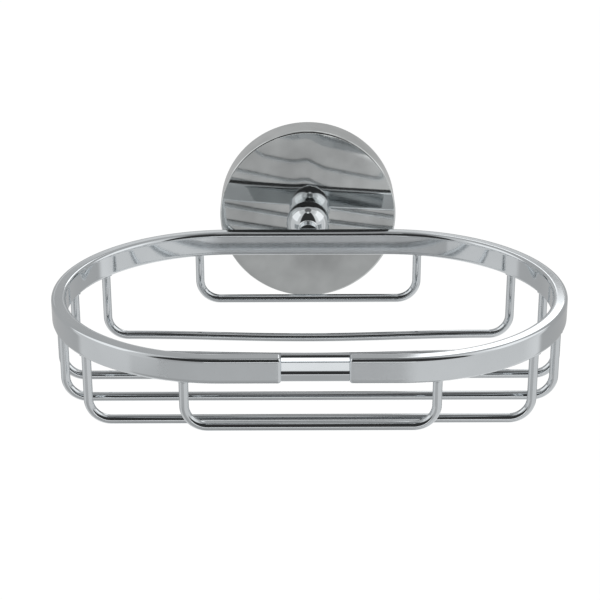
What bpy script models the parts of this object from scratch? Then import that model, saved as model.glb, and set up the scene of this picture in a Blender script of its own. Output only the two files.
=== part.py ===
"""Chromed wall soap holder: an oval wire basket on a turned ball post and a round rosette.

Lengths are in metres. The wall is the plane y = 0 and the holder stands out towards -Y, with +Z up
and +X to the right as one looks at the wall. The origin is the middle of the wall plate's rear face,
on the axis of the rosette and of the ball post.

A turned piece is drawn as (radius, height) points down its outer side. On the rosette's axis a
height is the distance from the wall, so a height below zero lies inside the wall.
"""

from math import acos, asin, cos, degrees, pi, radians, sin, sqrt

import bmesh
import bpy

# Gaps and cuts
SEAT_GAP = 0.0003
CUT_OVERRUN = 0.0020
MERGE_DISTANCE = 0.00001

# Rosette: the drawn cup that covers the fixing
ROSETTE_DIAMETER = 0.0548
ROSETTE_DEPTH = 0.0090
ROSETTE_FACE_WALL = 0.0020
ROSETTE_SKIRT_WALL = 0.0025
ROSETTE_EDGE_RADIUS = 0.0006
ROSETTE_TAPER = 0.0005
ROSETTE_INNER_RADIUS = 0.0008
ROSETTE_REAR_CHAMFER = 0.0004

# Wall plate: the disc under the rosette, with a groove for the locking screw
PLATE_SLIP_GAP = 0.0004
PLATE_THICKNESS = 0.0058
PLATE_WEB = 0.0034
PLATE_FLOOR = 0.0006
PLATE_RIM_WIDTH = 0.0036
PLATE_WALL_DRAFT = 0.0006
PLATE_EDGE_CHAMFER = 0.0005
PLATE_HUB_WALL = 0.0018
PLATE_POCKET_SPACE = 0.0030
GROOVE_MIDDLE = 0.0031
GROOVE_WIDTH = 0.0036
GROOVE_DEPTH = 0.0016
GROOVE_FLAT = 0.0008

# Wall screws and their plugs
SCREW_EDGE_MARGIN = 0.0090
SCREW_LENGTH = 0.0300
SCREW_SHANK_DIAMETER = 0.0040
SCREW_HEAD_DIAMETER = 0.0076
SCREW_HEAD_HEIGHT = 0.0024
SCREW_HEAD_LAND = 0.0004
SCREW_HEAD_SINK = 0.0002
SCREW_TIP_LENGTH = 0.0045
SCREW_TIP_DIAMETER = 0.0008
CROSS_SLOT_LENGTH = 0.0040
CROSS_SLOT_WIDTH = 0.0009
CROSS_SLOT_DEPTH = 0.0013
PLUG_DIAMETER = 0.0064
PLUG_LENGTH = 0.0260
PLUG_COLLAR_DIAMETER = 0.0082
PLUG_COLLAR_HEIGHT = 0.0008
PLUG_BARB_DEPTH = 0.0004
PLUG_SLIT_WIDTH = 0.0010
PLUG_SLIT_SHARE = 0.62

# Locking screw through the rosette's skirt
GRUB_DIAMETER = 0.0040
GRUB_RECESS = 0.0004
GRUB_TIP_DIAMETER = 0.0008
GRUB_CONE_LENGTH = 0.0019
GRUB_SOCKET_FLATS = 0.0020
GRUB_SOCKET_DEPTH = 0.0012

# Bolt and washers that hold the ball post to the rosette
BOLT_DIAMETER = 0.0050
BOLT_LENGTH = 0.0110
BOLT_HEAD_DIAMETER = 0.0086
BOLT_HEAD_HEIGHT = 0.0026
BOLT_HEAD_EDGE = 0.0009
BOLT_POINT_CHAMFER = 0.0006
BOLT_SOCKET_FLATS = 0.0030
BOLT_SOCKET_DEPTH = 0.0014
FLAT_WASHER_DIAMETER = 0.0100
FLAT_WASHER_HEIGHT = 0.0010
LOCK_WASHER_DIAMETER = 0.0088
LOCK_WASHER_HEIGHT = 0.0012
LOCK_WASHER_SPLIT = 0.0008
LOCK_WASHER_SPLIT_ANGLE = radians(25)

# Ball post: one turned piece with a foot, a ball and a neck
BALL_DIAMETER = 0.0132
BALL_STANDOFF = 0.0073
FOOT_DIAMETER = 0.0080
NECK_DIAMETER = 0.0056
NECK_LENGTH = 0.0040
NECK_FILLET = 0.0006
TAP_POINT_SPACE = 0.0008

# Rim: the flat band bent to an oval
RIM_WIDTH = 0.1422
RIM_DEPTH = 0.0921
RIM_STRAIGHT = 0.0460
RIM_TOP_ABOVE_AXIS = 0.0022
BAND_THICKNESS = 0.0040
BAND_HEIGHT = 0.0072
BAND_EDGE_RADIUS = 0.0010
BAND_END_ROUNDING = 0.0008
BAND_SHARPEST_BEND = radians(60)

# Joiner: the dished bar that closes the rim in front, flush with the band's top and inner face
JOINER_LENGTH = 0.0168
JOINER_HEIGHT = 0.0069
JOINER_THICKNESS = 0.0023
JOINER_DISH = 0.0009
JOINER_LIP = 0.0007
JOINER_EDGE_RADIUS = 0.0004
JOINER_OFFSET = 0.0012
SPIGOT_DIAMETER = 0.0008
SPIGOT_LENGTH = 0.0040
SPIGOT_FROM_INNER_FACE = 0.0009

# Basket wires: seven U-shaped wires that hang under the rim
WIRE_DIAMETER = 0.0025
WIRE_BEND_RADIUS = 0.0060
BASKET_DEPTH = 0.0264
BASKET_SAG = 0.0010
END_WIRE_DEPTH = 0.0210
END_WIRE_SPAN = 0.0652
END_WIRE_RISE = 0.0011
WIRE_PITCH_SHARE = 0.31
WIRES_EACH_SIDE = 3

# Facets
ROSETTE_STEPS = 64
PLATE_STEPS = 48
BALL_STEPS = 40
SMALL_STEPS = 24
RIM_END_STEPS = 26
BALL_ARC_STEPS = 12
EDGE_STEPS = 4
CORNER_STEPS = 3
INNER_STEPS = 2
DISH_STEPS = 8
SAG_STEPS = 10
BEND_STEPS = 6
WIRE_RESOLUTION = 4
PLUG_BARBS = 5
HEXAGON_SIDES = 6

# Sizes that follow from the ones above
TOWARDS_ROOM = (pi / 2, 0, 0)
ALONG_X = (0, pi / 2, 0)
DOWNWARDS = (pi, 0, 0)
CUP_INNER_RADIUS = ROSETTE_DIAMETER / 2 - ROSETTE_SKIRT_WALL
CUP_INNER_HEIGHT = ROSETTE_DEPTH - ROSETTE_FACE_WALL
PLATE_RADIUS = CUP_INNER_RADIUS - PLATE_SLIP_GAP
SCREW_SPACING = 2 * (PLATE_RADIUS - SCREW_EDGE_MARGIN)
BALL_HEIGHT = ROSETTE_DEPTH + BALL_STANDOFF
RIM_REAR_HEIGHT = BALL_HEIGHT + BALL_DIAMETER / 2 + NECK_LENGTH
RIM_MIDDLE_Y = -(RIM_REAR_HEIGHT + RIM_DEPTH / 2)
RIM_MIDDLE_Z = RIM_TOP_ABOVE_AXIS - BAND_HEIGHT / 2
RIM_UNDERSIDE_Z = RIM_TOP_ABOVE_AXIS - BAND_HEIGHT
LINE_STRAIGHT = RIM_STRAIGHT / 2
LINE_END_REACH = RIM_WIDTH / 2 - LINE_STRAIGHT - BAND_THICKNESS / 2
LINE_HALF_DEPTH = RIM_DEPTH / 2 - BAND_THICKNESS / 2
BAND_OPENING = JOINER_LENGTH / 2 + SEAT_GAP
FRONT_INNER_Y = RIM_MIDDLE_Y - RIM_DEPTH / 2 + BAND_THICKNESS
JOINER_MIDDLE_Z = RIM_TOP_ABOVE_AXIS - JOINER_HEIGHT / 2
SPIGOT_Y = FRONT_INNER_Y - SPIGOT_FROM_INNER_FACE
FLAT_WASHER_TOP = CUP_INNER_HEIGHT - SEAT_GAP
LOCK_WASHER_TOP = FLAT_WASHER_TOP - FLAT_WASHER_HEIGHT - SEAT_GAP
BOLT_SHOULDER = LOCK_WASHER_TOP - LOCK_WASHER_HEIGHT - SEAT_GAP
SCREW_TOP = PLATE_WEB - SCREW_HEAD_SINK


def clear_scene():
    """Remove every object, so the script starts from an empty scene."""
    for old in list(bpy.data.objects):
        bpy.data.objects.remove(old, do_unlink=True)


def collection(name):
    """Make a collection in the scene."""
    made = bpy.data.collections.new(name)
    bpy.context.scene.collection.children.link(made)
    return made


def material(name, colour, roughness, metallic):
    """Make a Principled material."""
    made = bpy.data.materials.new(name)
    made.use_nodes = True
    shader = made.node_tree.nodes["Principled BSDF"]
    shader.inputs["Base Color"].default_value = (*colour, 1)
    shader.inputs["Roughness"].default_value = roughness
    shader.inputs["Metallic"].default_value = metallic
    made.diffuse_color = (*colour, 1)
    return made


def place(name, data, finish, folder, location=(0, 0, 0), rotation=(0, 0, 0)):
    """Put mesh or curve data into the scene as a named object with its own material."""
    thing = bpy.data.objects.new(name, data)
    thing.location = location
    thing.rotation_euler = rotation
    if finish is not None:
        data.materials.append(finish)
    folder.objects.link(thing)
    return thing


def turned(name, profile, steps, finish, folder, closed, location=(0, 0, 0), rotation=TOWARDS_ROOM):
    """Turn (radius, height) points about an axis; closed joins the last point to the first."""
    count = len(profile)
    edges = [(i, i + 1) for i in range(count - 1)]
    if closed:
        edges.append((count - 1, 0))
    mesh = bpy.data.meshes.new(name)
    mesh.from_pydata([(radius, 0, height) for radius, height in profile], edges, [])
    thing = place(name, mesh, finish, folder, location, rotation)
    screw = thing.modifiers.new("turn", "SCREW")
    screw.axis = "Z"
    screw.steps = steps
    screw.render_steps = steps
    screw.use_merge_vertices = True
    screw.merge_threshold = MERGE_DISTANCE
    screw.use_smooth_shade = True
    return thing


def arc(radius_at, height_at, radius, start, end, steps):
    """Points of an arc about (radius_at, height_at), its angles in degrees from the first axis."""
    angles = [radians(start + (end - start) * i / steps) for i in range(steps + 1)]
    return [(radius_at + radius * cos(a), height_at + radius * sin(a)) for a in angles]


def box(name, size, location, folder, rotation=(0, 0, 0)):
    """Make a box of the given size, with its scale applied."""
    mesh = bpy.data.meshes.new(name)
    shape = bmesh.new()
    bmesh.ops.create_cube(shape, size=1)
    bmesh.ops.scale(shape, vec=size, verts=shape.verts)
    shape.to_mesh(mesh)
    shape.free()
    return place(name, mesh, None, folder, location, rotation)


def hexagon(name, flats, depth, location, folder, rotation):
    """Make a hexagonal prism, measured across its flats, centred on its location."""
    mesh = bpy.data.meshes.new(name)
    shape = bmesh.new()
    corner = flats / 2 / cos(pi / HEXAGON_SIDES)
    bmesh.ops.create_cone(
        shape, cap_ends=True, segments=HEXAGON_SIDES, radius1=corner, radius2=corner, depth=depth
    )
    shape.to_mesh(mesh)
    shape.free()
    return place(name, mesh, None, folder, location, rotation)


def combine(target, tool, operation):
    """Join another object to one, or take it away from it, and hide the other."""
    tool.hide_render = True
    tool.display_type = "WIRE"
    boolean = target.modifiers.new(tool.name, "BOOLEAN")
    boolean.operation = operation
    boolean.solver = "EXACT"
    boolean.object = tool


def cut(target, cutter):
    """Cut one object out of another and hide the cutter."""
    combine(target, cutter, "DIFFERENCE")


def add_spline(curve, points):
    """Add a polyline through (x, y, z) points to a curve."""
    spline = curve.splines.new("POLY")
    spline.points.add(len(points) - 1)
    for point, where in zip(spline.points, points):
        point.co = (*where, 1)
    return spline


def meshed(curve_object):
    """Turn a curve object into a closed mesh object of the same name and place."""
    bpy.context.view_layer.update()
    evaluated = curve_object.evaluated_get(bpy.context.evaluated_depsgraph_get())
    mesh = bpy.data.meshes.new_from_object(evaluated)
    shape = bmesh.new()
    shape.from_mesh(mesh)
    bmesh.ops.remove_doubles(shape, verts=shape.verts, dist=MERGE_DISTANCE)
    bmesh.ops.recalc_face_normals(shape, faces=shape.faces)
    shape.to_mesh(mesh)
    shape.free()
    name = curve_object.name
    folder = curve_object.users_collection[0]
    where = curve_object.matrix_world.copy()
    bpy.data.objects.remove(curve_object, do_unlink=True)
    mesh.name = name
    thing = bpy.data.objects.new(name, mesh)
    thing.matrix_world = where
    folder.objects.link(thing)
    return thing


def rim_line():
    """Centre line of the band: a half ellipse at each end, joined by a straight behind.

    It starts at the joiner's right end and goes round the back to the joiner's left end.
    """
    line = [(JOINER_OFFSET + BAND_OPENING, -LINE_HALF_DEPTH)]
    for side, first in ((1, -pi / 2), (-1, pi / 2)):
        angles = [first + pi * i / RIM_END_STEPS for i in range(RIM_END_STEPS + 1)]
        line += [
            (side * LINE_STRAIGHT + LINE_END_REACH * cos(a), LINE_HALF_DEPTH * sin(a)) for a in angles
        ]
    line.append((JOINER_OFFSET - BAND_OPENING, -LINE_HALF_DEPTH))
    return line


def rim_line_reach(depth):
    """Half width of the band's centre line at a distance in front of or behind its middle."""
    return LINE_STRAIGHT + LINE_END_REACH * sqrt(1 - (depth / LINE_HALF_DEPTH) ** 2)


def rim_line_depth(reach):
    """Distance of the band's centre line from its middle at a half width on its rounded end."""
    along = max(0, reach - LINE_STRAIGHT) / LINE_END_REACH
    return LINE_HALF_DEPTH * sqrt(1 - along ** 2)


def band_outline():
    """Outline of the band's section: a rectangle with rounded corners, anticlockwise."""
    half_width = BAND_THICKNESS / 2 - BAND_EDGE_RADIUS
    half_height = BAND_HEIGHT / 2 - BAND_EDGE_RADIUS
    points = []
    for quarter, (x, y) in enumerate(((1, 1), (-1, 1), (-1, -1), (1, -1))):
        first = 90 * quarter
        points += arc(
            x * half_width, y * half_height, BAND_EDGE_RADIUS, first, first + 90, CORNER_STEPS
        )
    return points


def make_rosette(parts, cutters):
    """Slightly tapered cup with a flat face, a bolt hole in its middle and a hole under its skirt."""
    outer = ROSETTE_DIAMETER / 2
    bore = BOLT_DIAMETER / 2 + SEAT_GAP
    edge = outer - ROSETTE_TAPER - ROSETTE_EDGE_RADIUS
    inner_corner = CUP_INNER_RADIUS - ROSETTE_INNER_RADIUS
    inner_height = CUP_INNER_HEIGHT - ROSETTE_INNER_RADIUS
    profile = [(bore, ROSETTE_DEPTH)]
    profile += arc(
        edge, ROSETTE_DEPTH - ROSETTE_EDGE_RADIUS, ROSETTE_EDGE_RADIUS, 90, 0, EDGE_STEPS
    )
    profile += [
        (outer, SEAT_GAP + ROSETTE_REAR_CHAMFER),
        (outer - ROSETTE_REAR_CHAMFER, SEAT_GAP),
        (CUP_INNER_RADIUS, SEAT_GAP),
    ]
    profile += arc(inner_corner, inner_height, ROSETTE_INNER_RADIUS, 0, 90, INNER_STEPS)
    profile += [(bore, CUP_INNER_HEIGHT)]
    chrome = material("rosette_chrome", (0.62, 0.63, 0.64), 0.06, 1.0)
    rosette = turned("rosette_cup", profile, ROSETTE_STEPS, chrome, parts, True)
    hole_radius = GRUB_DIAMETER / 2 + SEAT_GAP
    hole_reach = outer + CUT_OVERRUN
    hole = [(0, hole_reach), (hole_radius, hole_reach), (hole_radius, PLATE_RADIUS), (0, PLATE_RADIUS)]
    cutter = turned(
        "grub_screw_hole", hole, SMALL_STEPS, None, cutters, False, (0, -GROOVE_MIDDLE, 0), DOWNWARDS
    )
    cut(rosette, cutter)


def make_wall_plate(parts, cutters):
    """Cast disc with a grooved rim, a pocket for the bolt's head and two countersunk holes.

    The pocket has a closed floor, so the middle of the rear face bears on the wall.
    """
    pocket = FLAT_WASHER_DIAMETER / 2 + PLATE_POCKET_SPACE
    hub = pocket + PLATE_HUB_WALL
    rim = PLATE_RADIUS - PLATE_RIM_WIDTH
    top = PLATE_THICKNESS
    profile = [
        (0, PLATE_FLOOR),
        (pocket - PLATE_WALL_DRAFT, PLATE_FLOOR),
        (pocket, top),
        (hub, top),
        (hub + PLATE_WALL_DRAFT, PLATE_WEB),
        (rim - PLATE_WALL_DRAFT, PLATE_WEB),
        (rim, top),
        (PLATE_RADIUS - PLATE_EDGE_CHAMFER, top),
        (PLATE_RADIUS, top - PLATE_EDGE_CHAMFER),
        (PLATE_RADIUS, GROOVE_MIDDLE + GROOVE_WIDTH / 2),
        (PLATE_RADIUS - GROOVE_DEPTH, GROOVE_MIDDLE + GROOVE_FLAT / 2),
        (PLATE_RADIUS - GROOVE_DEPTH, GROOVE_MIDDLE - GROOVE_FLAT / 2),
        (PLATE_RADIUS, GROOVE_MIDDLE - GROOVE_WIDTH / 2),
        (PLATE_RADIUS, 0),
        (hub, 0),
        (0, 0),
    ]
    zinc = material("cast_zinc", (0.46, 0.46, 0.45), 0.45, 1.0)
    plate = turned("wall_plate", profile, PLATE_STEPS, zinc, parts, False)
    head = SCREW_HEAD_DIAMETER / 2 + SEAT_GAP
    shank = SCREW_SHANK_DIAMETER / 2 + SEAT_GAP
    sink = [
        (0, top + CUT_OVERRUN),
        (head, top + CUT_OVERRUN),
        (head, SCREW_TOP - SCREW_HEAD_LAND),
        (shank, SCREW_TOP - SCREW_HEAD_HEIGHT),
        (shank, -CUT_OVERRUN),
        (0, -CUT_OVERRUN),
    ]
    for side, word in ((-1, "left"), (1, "right")):
        where = (side * SCREW_SPACING / 2, 0, 0)
        cut(plate, turned(f"screw_hole_{word}", sink, SMALL_STEPS, None, cutters, False, where))


def make_wall_screws(parts, cutters):
    """Countersunk screws with a cross recess, one at each side of the plate."""
    head = SCREW_HEAD_DIAMETER / 2
    shank = SCREW_SHANK_DIAMETER / 2
    point = SCREW_TOP - SCREW_LENGTH
    profile = [
        (0, SCREW_TOP),
        (head, SCREW_TOP),
        (head, SCREW_TOP - SCREW_HEAD_LAND),
        (shank, SCREW_TOP - SCREW_HEAD_HEIGHT),
        (shank, point + SCREW_TIP_LENGTH),
        (SCREW_TIP_DIAMETER / 2, point),
        (0, point),
    ]
    slot_height = CROSS_SLOT_DEPTH + CUT_OVERRUN
    slot_y = -(SCREW_TOP - CROSS_SLOT_DEPTH + slot_height / 2)
    for side, word in ((-1, "left"), (1, "right")):
        x = side * SCREW_SPACING / 2
        steel = material(f"screw_steel_{word}", (0.58, 0.57, 0.55), 0.30, 1.0)
        screw = turned(f"wall_screw_{word}", profile, SMALL_STEPS, steel, parts, False, (x, 0, 0))
        for way, size in (
            ("flat", (CROSS_SLOT_LENGTH, slot_height, CROSS_SLOT_WIDTH)),
            ("upright", (CROSS_SLOT_WIDTH, slot_height, CROSS_SLOT_LENGTH)),
        ):
            cut(screw, box(f"cross_slot_{way}_{word}", size, (x, slot_y, 0), cutters))


def make_wall_plugs(parts, cutters):
    """Ribbed plugs behind the plate, slit from their far end so that the screw spreads them."""
    bore = SCREW_SHANK_DIAMETER / 2 + SEAT_GAP
    body = PLUG_DIAMETER / 2
    collar = PLUG_COLLAR_DIAMETER / 2
    top = -SEAT_GAP
    end = top - PLUG_LENGTH
    first = top - PLUG_COLLAR_HEIGHT
    barb = (first - end) / PLUG_BARBS
    profile = [(bore, top), (collar, top), (collar, first), (body - PLUG_BARB_DEPTH, first)]
    for i in range(1, PLUG_BARBS):
        profile += [(body, first - barb * i), (body - PLUG_BARB_DEPTH, first - barb * i)]
    profile += [(body - PLUG_BARB_DEPTH, end), (bore, end)]
    slit_length = PLUG_LENGTH * PLUG_SLIT_SHARE
    slit = (PLUG_SLIT_WIDTH, slit_length + CUT_OVERRUN, PLUG_COLLAR_DIAMETER)
    slit_y = -(end + (slit_length - CUT_OVERRUN) / 2)
    for side, word in ((-1, "left"), (1, "right")):
        x = side * SCREW_SPACING / 2
        nylon = material(f"plug_nylon_{word}", (0.60, 0.60, 0.58), 0.50, 0.0)
        plug = turned(f"wall_plug_{word}", profile, SMALL_STEPS, nylon, parts, True, (x, 0, 0))
        cut(plug, box(f"plug_slit_{word}", slit, (x, slit_y, 0), cutters))


def make_grub_screw(parts, cutters):
    """Cone-pointed set screw whose point sits in the plate's groove and locks the rosette."""
    outer_end = ROSETTE_DIAMETER / 2 - GRUB_RECESS
    point = PLATE_RADIUS - GROOVE_DEPTH + SEAT_GAP
    thread = GRUB_DIAMETER / 2
    profile = [
        (0, outer_end),
        (thread, outer_end),
        (thread, point + GRUB_CONE_LENGTH),
        (GRUB_TIP_DIAMETER / 2, point),
        (0, point),
    ]
    steel = material("grub_steel", (0.42, 0.42, 0.43), 0.35, 1.0)
    where = (0, -GROOVE_MIDDLE, 0)
    grub = turned("grub_screw", profile, SMALL_STEPS, steel, parts, False, where, DOWNWARDS)
    depth = GRUB_SOCKET_DEPTH + CUT_OVERRUN
    socket_z = -(outer_end - GRUB_SOCKET_DEPTH + depth / 2)
    where = (0, -GROOVE_MIDDLE, socket_z)
    cut(grub, hexagon("grub_socket", GRUB_SOCKET_FLATS, depth, where, cutters, (0, 0, 0)))


def make_post_bolt(parts, cutters):
    """Button-head bolt that comes through the rosette from inside and pulls the ball post home."""
    thread = BOLT_DIAMETER / 2
    head = BOLT_HEAD_DIAMETER / 2
    tip = BOLT_SHOULDER + BOLT_LENGTH
    profile = [
        (0, tip),
        (thread - BOLT_POINT_CHAMFER, tip),
        (thread, tip - BOLT_POINT_CHAMFER),
        (thread, BOLT_SHOULDER),
        (head, BOLT_SHOULDER),
        (head, BOLT_SHOULDER - BOLT_HEAD_EDGE),
    ]
    crown = BOLT_HEAD_HEIGHT - BOLT_HEAD_EDGE
    for i in range(1, CORNER_STEPS + 1):
        angle = pi / 2 * i / (CORNER_STEPS + 1)
        profile.append((head * cos(angle), BOLT_SHOULDER - BOLT_HEAD_EDGE - crown * sin(angle)))
    profile.append((0, BOLT_SHOULDER - BOLT_HEAD_HEIGHT))
    steel = material("bolt_steel", (0.50, 0.50, 0.50), 0.30, 1.0)
    bolt = turned("post_bolt", profile, SMALL_STEPS, steel, parts, False)
    depth = BOLT_SOCKET_DEPTH + CUT_OVERRUN
    socket_y = -(BOLT_SHOULDER - BOLT_HEAD_HEIGHT + BOLT_SOCKET_DEPTH - depth / 2)
    cut(bolt, hexagon("bolt_socket", BOLT_SOCKET_FLATS, depth, (0, socket_y, 0), cutters, TOWARDS_ROOM))


def make_washers(parts, cutters):
    """Flat washer against the rosette and a split lock washer under the bolt's head."""
    bore = BOLT_DIAMETER / 2 + SEAT_GAP
    steel = material("flat_washer_steel", (0.55, 0.55, 0.55), 0.35, 1.0)
    outer = FLAT_WASHER_DIAMETER / 2
    low = FLAT_WASHER_TOP - FLAT_WASHER_HEIGHT
    ring = [(bore, FLAT_WASHER_TOP), (outer, FLAT_WASHER_TOP), (outer, low), (bore, low)]
    turned("flat_washer", ring, SMALL_STEPS, steel, parts, True)
    spring_steel = material("lock_washer_steel", (0.38, 0.38, 0.38), 0.40, 1.0)
    outer = LOCK_WASHER_DIAMETER / 2
    low = LOCK_WASHER_TOP - LOCK_WASHER_HEIGHT
    ring = [(bore, LOCK_WASHER_TOP), (outer, LOCK_WASHER_TOP), (outer, low), (bore, low)]
    washer = turned("lock_washer", ring, SMALL_STEPS, spring_steel, parts, True)
    size = (LOCK_WASHER_SPLIT, LOCK_WASHER_HEIGHT + 2 * CUT_OVERRUN, LOCK_WASHER_DIAMETER)
    where = (0, -(LOCK_WASHER_TOP - LOCK_WASHER_HEIGHT / 2), LOCK_WASHER_DIAMETER / 2)
    cut(washer, box("lock_washer_split", size, where, cutters, (0, 0, LOCK_WASHER_SPLIT_ANGLE)))


def make_ball_post(parts, cutters):
    """Turned post: a foot on the rosette, a ball, and a neck that is brazed to the rim."""
    ball = BALL_DIAMETER / 2
    foot = FOOT_DIAMETER / 2
    neck = NECK_DIAMETER / 2
    neck_end = RIM_REAR_HEIGHT - SEAT_GAP
    foot_end = ROSETTE_DEPTH + SEAT_GAP
    fillet_radius_at = neck + NECK_FILLET
    fillet_reach = ball + NECK_FILLET
    fillet_height = BALL_HEIGHT + sqrt(fillet_reach ** 2 - fillet_radius_at ** 2)
    neck_angle = degrees(acos(fillet_radius_at / fillet_reach))
    foot_angle = -degrees(acos(foot / ball))
    profile = [(0, neck_end), (neck, neck_end)]
    profile += arc(fillet_radius_at, fillet_height, NECK_FILLET, 180, 180 + neck_angle, CORNER_STEPS)
    profile += arc(0, BALL_HEIGHT, ball, neck_angle, foot_angle, BALL_ARC_STEPS)[1:]
    profile += [(foot, foot_end), (0, foot_end)]
    chrome = material("post_chrome", (0.66, 0.67, 0.68), 0.05, 1.0)
    post = turned("ball_post", profile, BALL_STEPS, chrome, parts, False)
    bore = BOLT_DIAMETER / 2 + SEAT_GAP
    hole_end = BOLT_SHOULDER + BOLT_LENGTH + TAP_POINT_SPACE
    hole_start = ROSETTE_DEPTH - CUT_OVERRUN
    hole = [(0, hole_end), (bore, hole_end), (bore, hole_start), (0, hole_start)]
    cut(post, turned("post_tapped_hole", hole, SMALL_STEPS, None, cutters, False))


def make_rim(parts, cutters):
    """Flat band with softened edges, bent to an oval that is open in front for the joiner."""
    section = bpy.data.curves.new("band_section", "CURVE")
    section.dimensions = "2D"
    outline = add_spline(section, [(x, y, 0) for x, y in band_outline()])
    outline.use_cyclic_u = True
    guide = place("band_section", section, None, cutters)
    guide.hide_render = True
    guide.display_type = "WIRE"
    path = bpy.data.curves.new("rim_band", "CURVE")
    path.dimensions = "3D"
    path.twist_mode = "Z_UP"
    path.bevel_mode = "OBJECT"
    path.bevel_object = guide
    path.use_fill_caps = True
    add_spline(path, [(x, y, 0) for x, y in rim_line()])
    band = meshed(place("rim_band", path, None, parts, (0, RIM_MIDDLE_Y, RIM_MIDDLE_Z)))
    band.data.materials.clear()
    band.data.materials.append(material("rim_chrome", (0.64, 0.65, 0.66), 0.08, 1.0))
    rounding = band.modifiers.new("end_rounding", "BEVEL")
    rounding.width = BAND_END_ROUNDING
    rounding.segments = CORNER_STEPS
    rounding.limit_method = "ANGLE"
    rounding.angle_limit = BAND_SHARPEST_BEND
    radius = SPIGOT_DIAMETER / 2 + SEAT_GAP
    near = JOINER_LENGTH / 2 - CUT_OVERRUN
    far = JOINER_LENGTH / 2 + SPIGOT_LENGTH + SEAT_GAP
    where = (JOINER_OFFSET, SPIGOT_Y, JOINER_MIDDLE_Z)
    for word, high, low in (("left", -near, -far), ("right", far, near)):
        socket = [(0, high), (radius, high), (radius, low), (0, low)]
        cutter = turned(
            f"spigot_socket_{word}", socket, SMALL_STEPS, None, cutters, False, where, ALONG_X
        )
        cut(band, cutter)


def joiner_outline():
    """Outline of the joiner's section as (y, z) points: a bar with a dish along its front."""
    depth = JOINER_THICKNESS - JOINER_EDGE_RADIUS
    height = JOINER_HEIGHT / 2 - JOINER_EDGE_RADIUS
    radius = JOINER_EDGE_RADIUS
    chord = JOINER_HEIGHT / 2 - JOINER_LIP
    dish_radius = (chord ** 2 + JOINER_DISH ** 2) / (2 * JOINER_DISH)
    dish_at = -JOINER_THICKNESS + JOINER_DISH - dish_radius
    dish_angle = degrees(asin(chord / dish_radius))
    points = arc(-radius, height, radius, 0, 90, CORNER_STEPS)
    points += arc(-depth, height, radius, 90, 180, CORNER_STEPS)
    points += arc(dish_at, 0, dish_radius, dish_angle, -dish_angle, DISH_STEPS)
    points += arc(-depth, -height, radius, 180, 270, CORNER_STEPS)
    points += arc(-radius, -height, radius, 270, 360, CORNER_STEPS)
    return points


def make_joiner(parts, cutters):
    """Dished bar between the band's ends, with a round spigot that runs into each of them."""
    section = joiner_outline()
    mesh = bpy.data.meshes.new("rim_joiner")
    mesh.from_pydata([(0, y, z) for y, z in section], [], [range(len(section))])
    chrome = material("joiner_chrome", (0.68, 0.69, 0.70), 0.04, 1.0)
    where = (JOINER_OFFSET, FRONT_INNER_Y, JOINER_MIDDLE_Z)
    joiner = place("rim_joiner", mesh, chrome, parts, where)
    length = joiner.modifiers.new("length", "SOLIDIFY")
    length.thickness = JOINER_LENGTH
    length.offset = 0
    far = JOINER_LENGTH / 2 + SPIGOT_LENGTH
    spigot = SPIGOT_DIAMETER / 2
    rod = [(0, far), (spigot, far), (spigot, -far), (0, -far)]
    where = (JOINER_OFFSET, SPIGOT_Y, JOINER_MIDDLE_Z)
    spigots = turned("joiner_spigots", rod, SMALL_STEPS, None, cutters, False, where, ALONG_X)
    combine(joiner, spigots, "UNION")


def wire_points(half_span, floor_z, sag):
    """Centre line of one U in the XZ plane: down one leg, round two bends and up the other.

    Between the bends the floor hangs down by the sag in its middle, as one wave of a cosine.
    """
    top = RIM_UNDERSIDE_Z - SEAT_GAP
    corner_x = half_span - WIRE_BEND_RADIUS
    corner_z = floor_z + WIRE_BEND_RADIUS
    angles = [pi / 2 * i / BEND_STEPS for i in range(BEND_STEPS + 1)]
    left = [
        (-corner_x - WIRE_BEND_RADIUS * cos(a), 0, corner_z - WIRE_BEND_RADIUS * sin(a)) for a in angles
    ]
    right = [(-x, y, z) for x, y, z in reversed(left)]
    floor = []
    if sag > 0:
        for i in range(1, SAG_STEPS):
            along = i / SAG_STEPS
            hang = sag * (1 - cos(2 * pi * along)) / 2
            floor.append((corner_x * (2 * along - 1), 0, floor_z - hang))
    return [(-half_span, 0, top)] + left + floor + right + [(half_span, 0, top)]


def make_basket_wires(parts):
    """Seven parallel U wires whose legs all stand on the band's centre line.

    The front wire's floor lies a little higher than the rear one's, and the floors behind the
    middle wire sag.
    """
    end_depth = rim_line_depth(END_WIRE_SPAN / 2)
    pitch = LINE_HALF_DEPTH * WIRE_PITCH_SHARE
    for number in range(2 * WIRES_EACH_SIDE + 1):
        place_in_row = WIRES_EACH_SIDE - number
        side = place_in_row / WIRES_EACH_SIDE
        is_end = abs(place_in_row) == WIRES_EACH_SIDE
        depth = end_depth * side if is_end else pitch * place_in_row
        half_span = END_WIRE_SPAN / 2 if is_end else rim_line_reach(depth)
        drop = END_WIRE_DEPTH + END_WIRE_RISE * side / 2 if is_end else BASKET_DEPTH
        floor_z = RIM_TOP_ABOVE_AXIS - drop
        sag = BASKET_SAG if side > 0 and not is_end else 0
        name = f"basket_wire_{number + 1}"
        curve = bpy.data.curves.new(name, "CURVE")
        curve.dimensions = "3D"
        curve.bevel_depth = WIRE_DIAMETER / 2
        curve.bevel_resolution = WIRE_RESOLUTION
        curve.use_fill_caps = True
        add_spline(curve, wire_points(half_span, floor_z, sag))
        chrome = material(f"wire_chrome_{number + 1}", (0.60, 0.61, 0.61), 0.08, 1.0)
        place(name, curve, chrome, parts, (0, RIM_MIDDLE_Y + depth, 0))


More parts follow.
